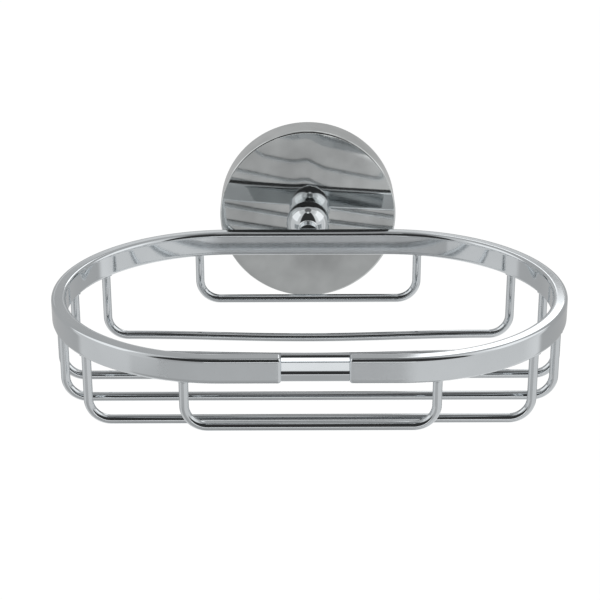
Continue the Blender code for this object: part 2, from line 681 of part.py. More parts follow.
def main():
    """Build every piece of the soap holder."""
    clear_scene()
    parts = collection("wall_soap_holder")
    cutters = collection("cutters")
    make_wall_plate(parts, cutters)
    make_wall_screws(parts, cutters)
    make_wall_plugs(parts, cutters)
    make_rosette(parts, cutters)
    make_grub_screw(parts, cutters)
    make_post_bolt(parts, cutters)
    make_washers(parts, cutters)
    make_ball_post(parts, cutters)
    make_rim(parts, cutters)
    make_joiner(parts, cutters)
    make_basket_wires(parts)
    bpy.context.view_layer.update()


main()
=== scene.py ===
"""Chromed wall soap holder: the finished surfaces, materials, studio and camera.

Lengths are in metres. The wall is the plane y = 0, the holder stands out towards -Y and +Z is up. Every
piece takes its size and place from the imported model, and replaces the plain solid of the same piece.
"""

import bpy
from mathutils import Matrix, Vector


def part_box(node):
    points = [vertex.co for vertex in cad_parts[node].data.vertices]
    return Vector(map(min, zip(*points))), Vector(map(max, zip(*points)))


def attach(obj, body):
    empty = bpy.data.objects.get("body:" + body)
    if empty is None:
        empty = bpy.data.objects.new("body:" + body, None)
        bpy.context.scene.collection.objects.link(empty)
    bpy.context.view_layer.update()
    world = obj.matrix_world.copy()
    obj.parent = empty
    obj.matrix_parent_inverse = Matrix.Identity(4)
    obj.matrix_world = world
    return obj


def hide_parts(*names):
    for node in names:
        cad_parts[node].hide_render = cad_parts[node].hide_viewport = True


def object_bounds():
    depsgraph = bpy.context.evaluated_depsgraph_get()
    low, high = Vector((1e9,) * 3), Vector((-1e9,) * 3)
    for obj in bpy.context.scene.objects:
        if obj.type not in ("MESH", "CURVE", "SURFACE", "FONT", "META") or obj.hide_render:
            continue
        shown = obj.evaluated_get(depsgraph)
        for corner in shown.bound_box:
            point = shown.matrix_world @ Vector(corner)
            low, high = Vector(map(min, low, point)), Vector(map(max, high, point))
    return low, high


bl_info = {
    "name": "Wall Soap Holder",
    "version": (1, 0, 0),
    "blender": (4, 5, 0),
    "location": "3D View > Sidebar > Soap Holder",
    "description": "Builds the surfaces, finishes and studio of a chromed wall soap holder",
    "category": "Add Mesh",
}

import bmesh
import bpy
import numpy as np
from mathutils import Matrix

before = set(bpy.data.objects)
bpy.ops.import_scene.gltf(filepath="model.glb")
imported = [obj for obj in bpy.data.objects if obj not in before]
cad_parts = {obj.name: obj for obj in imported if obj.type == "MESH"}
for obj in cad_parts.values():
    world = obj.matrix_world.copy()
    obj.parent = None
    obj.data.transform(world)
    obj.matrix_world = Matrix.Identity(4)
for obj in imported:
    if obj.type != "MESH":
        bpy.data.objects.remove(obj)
CAD_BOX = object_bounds()

BODY = "root"

# Pieces that arcs, runs and turns are cut into, the longest edges of finely cut runs, and tolerances
WASHER_STEPS = 3
SOFT_STEPS = 4
REAR_STEPS = 5
EDGE_STEPS = 6
CORNER_STEPS = 8
DOME_STEPS = 11
FACE_EDGE_STEPS = 14
LIP_STEPS = 16
NOSE_STEPS = 24
JOINER_STEPS = 40
BALL_STEPS = 64
FRONT_STEPS = 24
BACK_STEPS = 60
END_STEPS = 150
WIRE_TOP_STEPS = 16
LEG_STEPS = 8
BEND_STEPS = 25
FLOOR_STEPS = 40
THREAD_STEPS = 8
CARD_STEPS = 48
WIRE_AROUND = 32
HOLE_AROUND = 48
SMALL_AROUND = 64
AROUND = 96
ROSETTE_AROUND = 192
JOINER_STEP = 0.0002
SECTION_STEP = 0.0003
ROSETTE_STEP = 0.0005
POST_STEP = 0.0006
PLATE_STEP = 0.001
PLUG_STEP = 0.002
MERGE_DISTANCE = 1e-7
TINY = 1e-9
CUT_OVERRUN = 0.002
SHARP_ANGLE = np.radians(28)

# Basket and brazed seats
WIRE_COUNT = 7
SAGGING_WIRES = (2, 3)
WIRE_TOP = 0.0015
BRAZE_GAP = 0.0003
BRAZE_DEPTH = 0.0003

# Lean of the rosette's polished face: the sideways and upward parts of its normals at the middle, how much
# they change towards the rim, and a narrow upright ridge in the middle, its width a share of the radius
FACE_LEAN_X = -0.060
FACE_LEAN_Z = -0.041
FACE_BULGE_X = 0.065
FACE_BULGE_Z = 0.083
FACE_TWIST = 0.047
FACE_RIDGE = -0.012
FACE_RIDGE_SHARE = 0.12

# Rosette's rear and inner edges, and the post's foot
REAR_EDGE = 0.0003
INNER_EDGE = 0.0008
FOOT_COVE = 0.0004
FOOT_EDGE = 0.0002

# Slopes of the joiner's recessed wall, ledge and underside, as the elevation of their normals in degrees
JOINER_LEAN = 7.4
JOINER_LEDGE = 50
JOINER_UNDER = -12
SPIGOT_SLIP = 0.0003

# Fixing behind the rosette
BOLT_SHANK = 0.0050
BOLT_SLIP = 0.0006
BOLT_PITCH = 0.0008
BOLT_THREAD = 0.0004
BOLT_FADE = 0.0006
BOLT_CHAMFER = 0.0006
BOLT_HEAD_HEIGHT = 0.0026
BOLT_HEAD_EDGE = 0.0009
BOLT_POINT_SPACE = 0.0008
BOLT_SOCKET = 0.0030
BOLT_SOCKET_DEPTH = 0.0014
BOLT_SOCKET_LAND = 0.0002
GRUB_SLIP = 0.0003
GRUB_PITCH = 0.0007
GRUB_THREAD = 0.0003
GRUB_FADE = 0.0004
GRUB_CHAMFER = 0.0003
GRUB_SOCKET = 0.0020
GRUB_SOCKET_DEPTH = 0.0012
GRUB_CONE = 0.0019
GRUB_TIP = 0.0004
SCREW_SHANK = 0.0020
SCREW_SLIP = 0.0003
SCREW_HEAD_HEIGHT = 0.0024
SCREW_LAND = 0.0004
SCREW_TIP_LENGTH = 0.0045
SCREW_TIP = 0.0004
SCREW_PITCH = 0.0018
SCREW_THREAD = 0.0005
SCREW_FADE = 0.0012
CROSS_LENGTH = 0.0040
CROSS_WIDTH = 0.0009
CROSS_DEPTH = 0.0013
CROSS_FLOOR_SHARE = 0.55
PLATE_WEB = 0.0034
PLATE_FLOOR = 0.0006
PLATE_RIM = 0.0036
PLATE_DRAFT = 0.0006
PLATE_EDGE = 0.0004
PLATE_POCKET = 0.0080
PLATE_HUB_WALL = 0.0018
GROOVE_MIDDLE = 0.0031
GROOVE_HALF = 0.0018
GROOVE_FLAT = 0.0004
GROOVE_DEPTH = 0.0016
PLUG_BORE = 0.0023
PLUG_BODY = 0.0032
PLUG_COLLAR_HEIGHT = 0.0008
PLUG_BARB = 0.0004
PLUG_BARB_LAND = 0.0003
PLUG_BARBS = 5
PLUG_SLIT = 0.0010
PLUG_SLIT_SHARE = 0.62
WASHER_EDGE = 0.0001
WASHER_SPLIT_HALF = 0.0004
WASHER_SPLIT_LEAN = np.radians(25)

# Finishes: roughness as a share of the chrome's or by itself, depth of waves and fine lines, haze, colours
POST_GLOSS_SHARE = 0.8
RIM_GLOSS_SHARE = 1.2
JOINER_GLOSS_SHARE = 0.7
WIRE_GLOSS_SHARE = 1.1
# The joiner's chrome is the same plate made brighter by this share: painted light that lightens its
# reflections
JOINER_PAINTED_LIGHT_SHARE = 1.07
ROSETTE_WAVE = 0.000012
RIM_WAVE = 0.000006
RIM_LINES = 0.0000006
WIRE_LINES = 0.0000005
HAZE = 0.03
ROSETTE_HAZE = 0.18
GRUB_COLOUR = (0.42, 0.42, 0.43)
BOLT_COLOUR = (0.50, 0.50, 0.50)
SCREW_ROUGHNESS = 0.28
GRUB_ROUGHNESS = 0.32
WASHER_ROUGHNESS = 0.34

# Studio
CAMERA_PLACE = np.array([-0.003234, -0.531145, 0.196334])
CAMERA_PITCH = 0.4073
CAMERA_YAW = 0.0014
CAMERA_ROLL = -0.0026
SENSOR_WIDTH = 36
CLIP_START = 0.01
CLIP_END = 50
FLOOR_HALF_WIDTH = 2.9
FLOOR_GREY = (0.82, 0.82, 0.82, 1)
FLOOR_GLOW = 0.45
WHITE = (1, 1, 1, 1)
CARD_DISTANCE = 3.0
CARD_SPACING = 0.1

# A card is: name, azimuth of its middle (0 in front, 90 to the right), half its width, its lowest and
# highest elevation, the width of its soft edge (all in degrees), and its brightness
STUDIO_CARDS = (
    ("tent_front", 0, 95, -90, 90, 30, 0.62),
    ("tent_left", -105, 60, -60, 60, 20, 0.72),
    ("tent_right", 105, 60, -60, 60, 20, 0.85),
    ("tent_behind", 180, 75, -35, 80, 6, 0.49),
    ("room_floor", 0, 60, -62, -25, 5, 0.46),
    ("room_front", 0, 40, -23.8, 8, 2, 0.48),
    ("floor_shade", 0, 60, -90, -66, 8, 0.22),
    ("ceiling", 0, 180, 76, 90, 5, 0.16),
    ("room_right", 50, 42, -62, 10, 16, 0.74),
    ("camera_side", 0, 44, -4, 72, 6, 0.04),
    ("joiner_glint", 0, 12, -12.5, -8.5, 1, 1.9),
    ("joiner_sky", 0, 12, 70, 80, 2, 0.97),
    ("wall_glow", 180, 32, 19.4, 22.4, 0.8, 0.8),
    ("lamp_behind", 165, 9.5, 24.0, 43, 1, 1.8),
    ("softbox_left", -85, 24, 14, 52, 6, 1.15),
    ("softbox_right", 86, 24, 14, 52, 6, 1.2),
)


def node_box(node):
    """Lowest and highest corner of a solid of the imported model, as a two by three array."""
    return np.array([list(corner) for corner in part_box(node)])


def half_width(low, high):
    """Half the width between two corners."""
    return (high[0] - low[0]) / 2


def sides(kind):
    """The name, the two corners and the place along the wall of the left and the right piece of a kind."""
    for side in ("left", "right"):
        low, high = node_box(f"{kind}_{side}")
        yield side, low, high, np.array([(low[0] + high[0]) / 2, 0, 0])


ROSETTE_BOX = node_box("rosette_cup")
PLATE_BOX = node_box("wall_plate")
BAND_BOX = node_box("rim_band")
JOINER_BOX = node_box("rim_joiner")
BOLT_BOX = node_box("post_bolt")
GRUB_BOX = node_box("grub_screw")


# Surfaces


def arc(middle, radius, start, end, steps):
    """Points of an arc: middle plus radius times cosine and sine of evenly spaced angles in degrees."""
    angle = np.radians(np.linspace(start, end, steps + 1))
    return np.stack([middle[0] + radius * np.cos(angle), middle[1] + radius * np.sin(angle)], axis=1)


def outline(*parts):
    """Join points and arcs to one line, leaving out points that repeat."""
    line = np.concatenate([np.atleast_2d(part) for part in parts])
    moved = np.abs(np.diff(line, axis=0)).max(axis=1) > MERGE_DISTANCE
    return line[np.concatenate([[True], moved])]


def finely(line, step):
    """Cut each straight run of a line into equal pieces no longer than a step."""
    runs = np.diff(line, axis=0)
    pieces = np.maximum(1, np.ceil(np.linalg.norm(runs, axis=1) / step)).astype(int)
    run = np.repeat(np.arange(len(pieces)), pieces)
    first = np.repeat(np.cumsum(pieces) - pieces, pieces)
    share = (np.arange(pieces.sum()) - first) / pieces[run]
    return np.concatenate([line[run] + share[:, None] * runs[run], line[-1:]])


def run_lengths(line):
    """Length along a line from its start to each of its points."""
    return np.concatenate([[0], np.cumsum(np.linalg.norm(np.diff(line, axis=0), axis=1))])


def closed_lengths(section):
    """Length along a closed section from its first point to each point and round to the first."""
    return run_lengths(np.concatenate([section, section[:1]]))


def rod(radius, start, end):
    """Profile of a plain round cutter between two heights."""
    return np.array([(0, start), (radius, start), (radius, end), (0, end)])


def around_angles(count):
    """Evenly spaced angles of one turn."""
    return np.linspace(0, 2 * np.pi, count, endpoint=False)


def turned(profile, count, axis):
    """Turn a profile: at the angle a its point (r, h) goes to r cos a, r sin a across the axis, h along."""
    angle = around_angles(count)
    return spun(profile[:, :1] * np.ones(count), profile[:, 1:] * np.ones(count), angle, axis)


def spun(radius, height, angle, axis):
    """Points at given radii and heights about an axis: into the room, to the right, or downwards."""
    across, up = radius * np.cos(angle), radius * np.sin(angle)
    if axis == "room":
        return np.stack([across, -height, up], axis=-1)
    if axis == "right":
        return np.stack([height, across, up], axis=-1)
    return np.stack([across, up, -height], axis=-1)


def hexagon_radius(angle, flats):
    """Distance of a hexagon's edge from its middle: half its width over the cosine from the next flat."""
    sixth = np.pi / 3
    return flats / 2 / np.cos((angle + sixth / 2) % sixth - sixth / 2)


def cross_radius(angle, length, width):
    """Distance of a cross's edge from its middle: the farther of its two crossed bars."""
    along, over = np.abs(np.cos(angle)) + TINY, np.abs(np.sin(angle)) + TINY
    flat = np.minimum(length / 2 / along, width / 2 / over)
    upright = np.minimum(length / 2 / over, width / 2 / along)
    return np.maximum(flat, upright)


def thread_rows(radius, depth, pitch, start, end, fade):
    """Radii and heights of a screw thread.

    The radius falls from its crest by a triangle wave of height over pitch less the turn, and the wave
    fades out at both ends.
    """
    steps = max(2, int(np.ceil(abs(end - start) / pitch * THREAD_STEPS)))
    height = np.linspace(start, end, steps + 1)[:, None]
    turn = around_angles(AROUND)[None, :] / (2 * np.pi)
    phase = height / pitch - turn
    groove = 1 - 2 * np.abs(phase - np.round(phase))
    low, high = min(start, end), max(start, end)
    ease = np.clip(np.minimum(height - low, high - height) / fade, 0, 1)
    return radius - depth * groove * ease, height + 0 * turn


def ring_surface(name, rings, lengths=None, loop=False):
    """Make a mesh of closed rings of points, one ring a row.

    Each quad joins two neighbours of one ring to the same two of the next. With loop set the last ring
    joins the first, and otherwise both are single points, so that the surface is closed. The faces point
    outwards, which the sign of the enclosed volume tells. Lengths along the rows and around the rings
    make the UV map.
    """
    count, around = rings.shape[:2]
    last = count if loop else count - 1
    row, column = (part.ravel() for part in np.meshgrid(np.arange(last), np.arange(around), indexing="ij"))
    next_row, next_column = (row + 1) % count, (column + 1) % around
    quads = np.stack(
        [
            row * around + column,
            row * around + next_column,
            next_row * around + next_column,
            next_row * around + column,
        ],
        axis=1,
    )
    points = rings.reshape(-1, 3)
    along = np.arange(last + 1) if lengths is None else lengths[0]
    over = np.arange(around + 1) if lengths is None else lengths[1]
    corner_u = np.stack([along[row], along[row], along[row + 1], along[row + 1]], axis=1)
    corner_v = np.stack([over[column], over[column + 1], over[column + 1], over[column]], axis=1)
    a, b, c, d = (points[quads[:, k]] for k in range(4))
    volume = (a * np.cross(b, c)).sum() + (a * np.cross(c, d)).sum()
    if volume < 0:
        quads, corner_u, corner_v = quads[:, ::-1], corner_u[:, ::-1], corner_v[:, ::-1]
    mesh = bpy.data.meshes.new(name)
    mesh.from_pydata(points.tolist(), [], quads.tolist())
    layer = mesh.uv_layers.new(name="surface")
    layer.data.foreach_set("uv", np.stack([corner_u, corner_v], axis=-1).astype(np.float32).ravel())
    shape = bmesh.new()
    shape.from_mesh(mesh)
    bmesh.ops.remove_doubles(shape, verts=shape.verts, dist=MERGE_DISTANCE)
    shape.to_mesh(mesh)
    shape.free()
    smooth(mesh)
    return placed(name, mesh)


def capped(rings):
    """Close both ends of a row of rings, each to the middle of its last ring."""
    ends = rings[[0, -1]]
    ends = ends.mean(axis=1, keepdims=True) + 0 * ends
    return np.concatenate([ends[:1], rings, ends[1:]])


def placed(name, data):
    """Make an object of a mesh or camera and link it to the scene."""
    thing = bpy.data.objects.new(name, data)
    bpy.context.scene.collection.objects.link(thing)
    return thing


def smooth(mesh):
    """Shade a mesh smooth, with its sharp edges kept."""
    mesh.shade_smooth()
    mesh.set_sharp_from_angle(angle=SHARP_ANGLE)


def cut_out(thing, cutter):
    """Cut one closed mesh out of another and remove the cutter."""
    cut = thing.modifiers.new("cut", "BOOLEAN")
    cut.object = cutter
    cut.operation = "DIFFERENCE"
    cut.solver = "EXACT"
    bpy.context.view_layer.update()
    old = thing.data
    mesh = bpy.data.meshes.new_from_object(thing.evaluated_get(bpy.context.evaluated_depsgraph_get()))
    thing.modifiers.clear()
    thing.data = mesh
    mesh.name = thing.name
    bpy.data.meshes.remove(old)
    bpy.data.objects.remove(cutter, do_unlink=True)
    smooth(mesh)


def block(name, low, high):
    """Make a box between two corners: a square ring at each end, closed to a point."""
    low, high = np.array(low), np.array(high)
    corners = np.array([[0, 0], [1, 0], [1, 1], [0, 1]])
    ring = low[:2] + corners * (high - low)[:2]
    middle = np.repeat([(low + high)[:2] / 2], 4, axis=0)
    flat = np.stack([middle, ring, ring, middle])
    level = np.repeat([[low[2]], [low[2]], [high[2]], [high[2]]], 4, axis=1)
    return ring_surface(name, np.concatenate([flat, level[..., None]], axis=-1))


def hand_over(thing, node, finish):
    """Give a piece its finish and body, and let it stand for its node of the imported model."""
    thing.data.materials.clear()
    thing.data.materials.append(finish)
    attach(thing, BODY)
    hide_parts(node)


# Materials


def add_node(nodes, kind, **inputs):
    """Add a shader node and set some of its inputs by name, an underscore standing for a space."""
    node = nodes.new(kind)
    for name, value in inputs.items():
        node.inputs[name.replace("_", " ")].default_value = value
    return node


def object_position(nodes, links, stretch=(1, 1, 1)):
    """Object coordinates, stretched along each axis."""
    where = nodes.new("ShaderNodeTexCoord")
    mapping = add_node(nodes, "ShaderNodeMapping", Scale=stretch)
    links.new(where.outputs["Object"], mapping.inputs["Vector"])
    return mapping.outputs["Vector"]


def surface_position(nodes, links, stretch=(1, 1, 1)):
    """The piece's own UV map, in metres along and around it, stretched along each axis."""
    where = nodes.new("ShaderNodeUVMap")
    where.uv_map = "surface"
    mapping = add_node(nodes, "ShaderNodeMapping", Scale=stretch)
    links.new(where.outputs["UV"], mapping.inputs["Vector"])
    return mapping.outputs["Vector"]


def noise(nodes, links, position, scale, detail):
    """A noise pattern with its features about one over the scale apart."""
    pattern = add_node(nodes, "ShaderNodeTexNoise", Scale=scale, Detail=detail)
    links.new(position, pattern.inputs["Vector"])
    return pattern.outputs["Fac"]


def ranged(nodes, links, value, low, high, start=0.3, end=0.7):
    """Turn a pattern's middle range into values between two limits."""
    fit = add_node(nodes, "ShaderNodeMapRange", From_Min=start, From_Max=end, To_Min=low, To_Max=high)
    links.new(value, fit.inputs["Value"])
    return fit.outputs["Result"]


def cloudy_material(name, colour, metallic, scale, detail, low, high):
    """Make a material whose colour drifts by a noise between its own times low and its own times high.

    It is returned with its nodes, its links, its Principled shader, its coordinates and the noise.
    """
    made = bpy.data.materials.new(name)
    made.use_nodes = True
    nodes, links = made.node_tree.nodes, made.node_tree.links
    shader = nodes["Principled BSDF"]
    shader.inputs["Metallic"].default_value = metallic
    position = object_position(nodes, links)
    clouds = ranged(nodes, links, noise(nodes, links, position, scale, detail), 0, 1)
    mix = nodes.new("ShaderNodeMix")
    mix.data_type = "RGBA"
    for entry, share in ((6, low), (7, high)):
        mix.inputs[entry].default_value = (*(min(1, share * part) for part in colour), 1)
    links.new(clouds, mix.inputs["Factor"])
    links.new(mix.outputs[2], shader.inputs["Base Color"])
    return made, nodes, links, shader, position, clouds


def bumped(nodes, links, height, distance, below=None):
    """Turn a height into a normal, on top of another bump if one is given."""
    bump = add_node(nodes, "ShaderNodeBump", Strength=1, Distance=distance)
    links.new(height, bump.inputs["Height"])
    if below is not None:
        links.new(below, bump.inputs["Normal"])
    return bump.outputs["Normal"]


def chrome(name, gloss_share=1.0, colour=None, wave=0.0, lines=0.0, haze=HAZE):
    """Bright chrome plate: a cloudy haze, a slow wave and, if drawn, fine lines along it."""
    finish = finishes()
    colour = finish.chrome_colour if colour is None else colour
    roughness = gloss_share * finish.chrome_roughness
    made, nodes, links, shader, position, _ = cloudy_material(
        name, colour, metallic=1, scale=70, detail=3, low=1 - haze, high=1 + haze
    )
    marks = noise(nodes, links, position, scale=900, detail=4)
    gloss = ranged(nodes, links, marks, low=0.8 * roughness, high=1.25 * roughness)
    links.new(gloss, shader.inputs["Roughness"])
    normal = None
    if wave:
        normal = bumped(nodes, links, noise(nodes, links, position, scale=55, detail=1), wave)
    if lines:
        along = surface_position(nodes, links, stretch=(12, 2600, 1))
        normal = bumped(nodes, links, noise(nodes, links, along, scale=1, detail=3), lines, normal)
    if normal is not None:
        links.new(normal, shader.inputs["Normal"])
    return made


def cast_zinc(name, colour):
    """Raw die-cast zinc: a fine grain, cloudy flow marks and a dull gloss."""
    made, nodes, links, shader, position, flow = cloudy_material(
        name, colour, metallic=1, scale=160, detail=4, low=0.8, high=1.15
    )
    gloss = ranged(nodes, links, flow, low=0.38, high=0.55, start=0, end=1)
    links.new(gloss, shader.inputs["Roughness"])
    grain = noise(nodes, links, position, scale=2600, detail=4)
    normal = bumped(nodes, links, flow, distance=0.00004)
    links.new(bumped(nodes, links, grain, distance=0.00003, below=normal), shader.inputs["Normal"])
    return made


def plated_steel(name, colour, roughness):
    """Machined or plated steel: small turning marks and a slightly patchy colour."""
    made, nodes, links, shader, _, patches = cloudy_material(
        name, colour, metallic=1, scale=400, detail=3, low=0.85, high=1.1
    )
    gloss = ranged(nodes, links, patches, low=0.85 * roughness, high=1.2 * roughness, start=0, end=1)
    links.new(gloss, shader.inputs["Roughness"])
    around = object_position(nodes, links, stretch=(1, 6, 1))
    turning = noise(nodes, links, around, scale=1400, detail=3)
    links.new(bumped(nodes, links, turning, distance=0.00001), shader.inputs["Normal"])
    return made


def nylon(name, colour):
    """Moulded grey nylon: a waxy skin with a fine grain."""
    made, nodes, links, shader, position, clouds = cloudy_material(
        name, colour, metallic=0, scale=260, detail=3, low=0.92, high=1.05
    )
    shader.inputs["Subsurface Weight"].default_value = 0.1
    shader.inputs["Subsurface Radius"].default_value = (0.001, 0.001, 0.001)
    gloss = ranged(nodes, links, clouds, low=0.42, high=0.55, start=0, end=1)
    links.new(gloss, shader.inputs["Roughness"])
    grain = noise(nodes, links, position, scale=1800, detail=3)
    links.new(bumped(nodes, links, grain, distance=0.00003), shader.inputs["Normal"])
    return made


# Sizes, finishes and studio values that a user would change


class SoapHolderSizes(bpy.types.PropertyGroup):
    """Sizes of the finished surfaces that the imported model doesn't state."""

    rosette_edge: bpy.props.FloatProperty(
        name="Rosette Edge", description="Radius of the rosette's front edge", default=0.0006, unit="LENGTH"
    )
    rosette_inset: bpy.props.FloatProperty(
        name="Rosette Inset", description="How far the finished skirt lies inside the packed solid's",
        default=0.0003, unit="LENGTH",
    )
    rosette_extra: bpy.props.FloatProperty(
        name="Rosette Extra", description="How far the finished face stands in front of the packed solid's",
        default=0.0010, unit="LENGTH",
    )
    rosette_wall: bpy.props.FloatProperty(
        name="Rosette Wall", description="Thickness of the rosette's face", default=0.0030, unit="LENGTH"
    )
    rosette_skirt: bpy.props.FloatProperty(
        name="Rosette Skirt", description="Thickness of the rosette's skirt", default=0.0025, unit="LENGTH"
    )
    band_thickness: bpy.props.FloatProperty(
        name="Band Thickness", description="Thickness of the flat band", default=0.0040, unit="LENGTH"
    )
    band_edge: bpy.props.FloatProperty(
        name="Band Edge", description="Radius of the band's softened edges", default=0.0010, unit="LENGTH"
    )
    band_straight: bpy.props.FloatProperty(
        name="Band Straight", description="Length of the straight between the rounded ends", default=0.0460,
        unit="LENGTH",
    )
    band_end_rounding: bpy.props.FloatProperty(
        name="Band End Rounding", description="Rounding where the band meets the joiner", default=0.0008,
        unit="LENGTH",
    )
    wire_bend: bpy.props.FloatProperty(
        name="Wire Bend", description="Radius of the bends at the wire's middle line", default=0.0060,
        unit="LENGTH",
    )
    braze: bpy.props.FloatProperty(
        name="Braze", description="Radius of the brazed fillet where two pieces meet", default=0.0005,
        unit="LENGTH",
    )
    ball_diameter: bpy.props.FloatProperty(
        name="Ball", description="Diameter of the post's ball", default=0.0132, unit="LENGTH"
    )
    foot_diameter: bpy.props.FloatProperty(
        name="Foot", description="Diameter of the post's foot", default=0.0080, unit="LENGTH"
    )
    neck_diameter: bpy.props.FloatProperty(
        name="Neck", description="Diameter of the post's neck", default=0.0056, unit="LENGTH"
    )
    neck_length: bpy.props.FloatProperty(
        name="Neck Length", description="Distance from the ball to the band", default=0.0040, unit="LENGTH"
    )
    neck_fillet: bpy.props.FloatProperty(
        name="Neck Fillet", description="Radius between ball and neck", default=0.0006, unit="LENGTH"
    )
    joiner_length: bpy.props.FloatProperty(
        name="Joiner Length", description="Length of the bar that closes the band", default=0.0168,
        unit="LENGTH",
    )
    joiner_lip: bpy.props.FloatProperty(
        name="Joiner Lip", description="Radius of the lip along the top", default=0.0010, unit="LENGTH"
    )
    joiner_lip_reach: bpy.props.FloatProperty(
        name="Joiner Lip Reach", description="How far the lip stands out from the inner face",
        default=0.0013, unit="LENGTH",
    )
    joiner_recess: bpy.props.FloatProperty(
        name="Joiner Recess", description="Distance of the recess under the lip from the inner face",
        default=0.0005, unit="LENGTH",
    )
    joiner_wall: bpy.props.FloatProperty(
        name="Joiner Wall", description="Height of the recess under the lip", default=0.0012, unit="LENGTH"
    )
    joiner_nose: bpy.props.FloatProperty(
        name="Joiner Nose", description="Radius of the joiner's rounded nose", default=0.0012, unit="LENGTH"
    )
    joiner_nose_height: bpy.props.FloatProperty(
        name="Joiner Nose Height", description="Height of the nose's middle above the joiner's underside",
        default=0.0020, unit="LENGTH",
    )
    joiner_edge: bpy.props.FloatProperty(
        name="Joiner Edge", description="Radius of the joiner's long edges", default=0.0004, unit="LENGTH"
    )
    spigot_diameter: bpy.props.FloatProperty(
        name="Spigot", description="Diameter of the joiner's spigots", default=0.0008, unit="LENGTH"
    )
    spigot_inset: bpy.props.FloatProperty(
        name="Spigot Inset", description="Distance of the spigots from the joiner's inner face",
        default=0.0009, unit="LENGTH",
    )
    basket_sag: bpy.props.FloatProperty(
        name="Basket Sag", description="How far the floor hangs down in the middle behind", default=0.0010,
        unit="LENGTH",
    )


class SoapHolderFinish(bpy.types.PropertyGroup):
    """Colours and gloss of the finishes."""

    chrome_colour: bpy.props.FloatVectorProperty(
        name="Chrome", description="Colour of the chrome plate", default=(0.67, 0.70, 0.72),
        subtype="COLOR", size=3, min=0, max=1,
    )
    rosette_colour: bpy.props.FloatVectorProperty(
        name="Rosette", description="Mirror colour of the rosette's chrome", default=(0.67, 0.69, 0.69),
        subtype="COLOR", size=3, min=0, max=1,
    )
    chrome_roughness: bpy.props.FloatProperty(
        name="Chrome Roughness", description="Roughness of the polished plate", default=0.05,
        subtype="FACTOR", min=0, max=1,
    )
    zinc_colour: bpy.props.FloatVectorProperty(
        name="Zinc", description="Colour of the cast plate", default=(0.46, 0.46, 0.45),
        subtype="COLOR", size=3, min=0, max=1,
    )
    steel_colour: bpy.props.FloatVectorProperty(
        name="Steel", description="Colour of screws and washers", default=(0.55, 0.545, 0.53),
        subtype="COLOR", size=3, min=0, max=1,
    )
    nylon_colour: bpy.props.FloatVectorProperty(
        name="Nylon", description="Colour of the wall plugs", default=(0.60, 0.60, 0.58),
        subtype="COLOR", size=3, min=0, max=1,
    )


class SoapHolderStudio(bpy.types.PropertyGroup):
    """Floor, room light and camera."""

    floor_depth: bpy.props.FloatProperty(
        name="Floor", description="Distance of the floor below the holder", default=0.45, unit="LENGTH"
    )
    room_light: bpy.props.FloatProperty(
        name="Room Light", description="Strength of the even light from all sides", default=0.7, min=0
    )
    focal_length: bpy.props.FloatProperty(
        name="Focal Length", description="Focal length on a sensor 36 mm wide", default=108, subtype="NONE"
    )


def sizes():
    """The sizes of the open scene."""
    return bpy.context.scene.soap_holder_sizes


def finishes():
    """The finishes of the open scene."""
    return bpy.context.scene.soap_holder_finish


# Pieces


def rosette_face(size):
    """Distance of the rosette's finished face from the wall."""
    return size.rosette_extra - ROSETTE_BOX[0, 1]


def polish_waves(mesh, face_y, radius):
    """Lean the normals of the rosette's flat face as slow waves from stamping and polishing would.

    With x and z as shares of the radius, a normal leans by a constant, by a bulge times its own
    coordinate and by a twist times the other one, and a narrow upright ridge leans it a little more.
    """
    points = np.empty(3 * len(mesh.vertices))
    mesh.vertices.foreach_get("co", points)
    points = points.reshape(-1, 3)
    x, z = points[:, 0] / radius, points[:, 2] / radius
    lean_x = FACE_LEAN_X + FACE_BULGE_X * x + FACE_TWIST * z
    ridge = FACE_RIDGE * np.exp(-(x / FACE_RIDGE_SHARE) ** 2)
    lean_z = FACE_LEAN_Z + FACE_BULGE_Z * z + FACE_TWIST * x + ridge
    normal = np.stack([lean_x, -1 + 0 * x, lean_z], axis=1)
    normal /= np.linalg.norm(normal, axis=1)[:, None]
    normal[np.abs(points[:, 1] - face_y) > MERGE_DISTANCE] = 0
    mesh.normals_split_custom_set_from_vertices(normal.tolist())


class SOAPHOLDER_OT_rosette(bpy.types.Operator):
    """Turn the rosette's cup, with its soft edge and the hole for the locking screw"""

    bl_idname = "soapholder.rosette"
    bl_label = "Rosette"

    def execute(self, context):
        size = sizes()
        outer = half_width(*ROSETTE_BOX) - size.rosette_inset
        face, rear = rosette_face(size), -ROSETTE_BOX[1, 1]
        bore = (BOLT_SHANK + BOLT_SLIP) / 2
        inner = outer - size.rosette_skirt
        floor = face - size.rosette_wall
        edge = size.rosette_edge
        profile = outline(
            (bore, face),
            arc((outer - edge, face - edge), edge, 90, 0, FACE_EDGE_STEPS),
            arc((outer - REAR_EDGE, rear + REAR_EDGE), REAR_EDGE, 0, -90, REAR_STEPS),
            arc((inner + REAR_EDGE, rear + REAR_EDGE), REAR_EDGE, 270, 180, REAR_STEPS),
            arc((inner - INNER_EDGE, floor - INNER_EDGE), INNER_EDGE, 0, 90, EDGE_STEPS),
            (bore, floor),
        )
        cup = ring_surface(
            "chromed_rosette", turned(finely(profile, ROSETTE_STEP), ROSETTE_AROUND, "room"), loop=True
        )
        where = (GRUB_BOX[0] + GRUB_BOX[1]) / 2
        hole_radius = half_width(*GRUB_BOX) + GRUB_SLIP
        hole = rod(hole_radius, inner - CUT_OVERRUN, outer + CUT_OVERRUN)
        grid = turned(hole, HOLE_AROUND, "down") + np.array([0, where[1], 0])
        cut_out(cup, ring_surface("locking_screw_hole", grid))
        polish_waves(cup.data, -face, outer)
        mirror = finishes().rosette_colour
        look = chrome("rosette_chrome", colour=mirror, wave=ROSETTE_WAVE, haze=ROSETTE_HAZE)
        hand_over(cup, "rosette_cup", look)
        return {"FINISHED"}


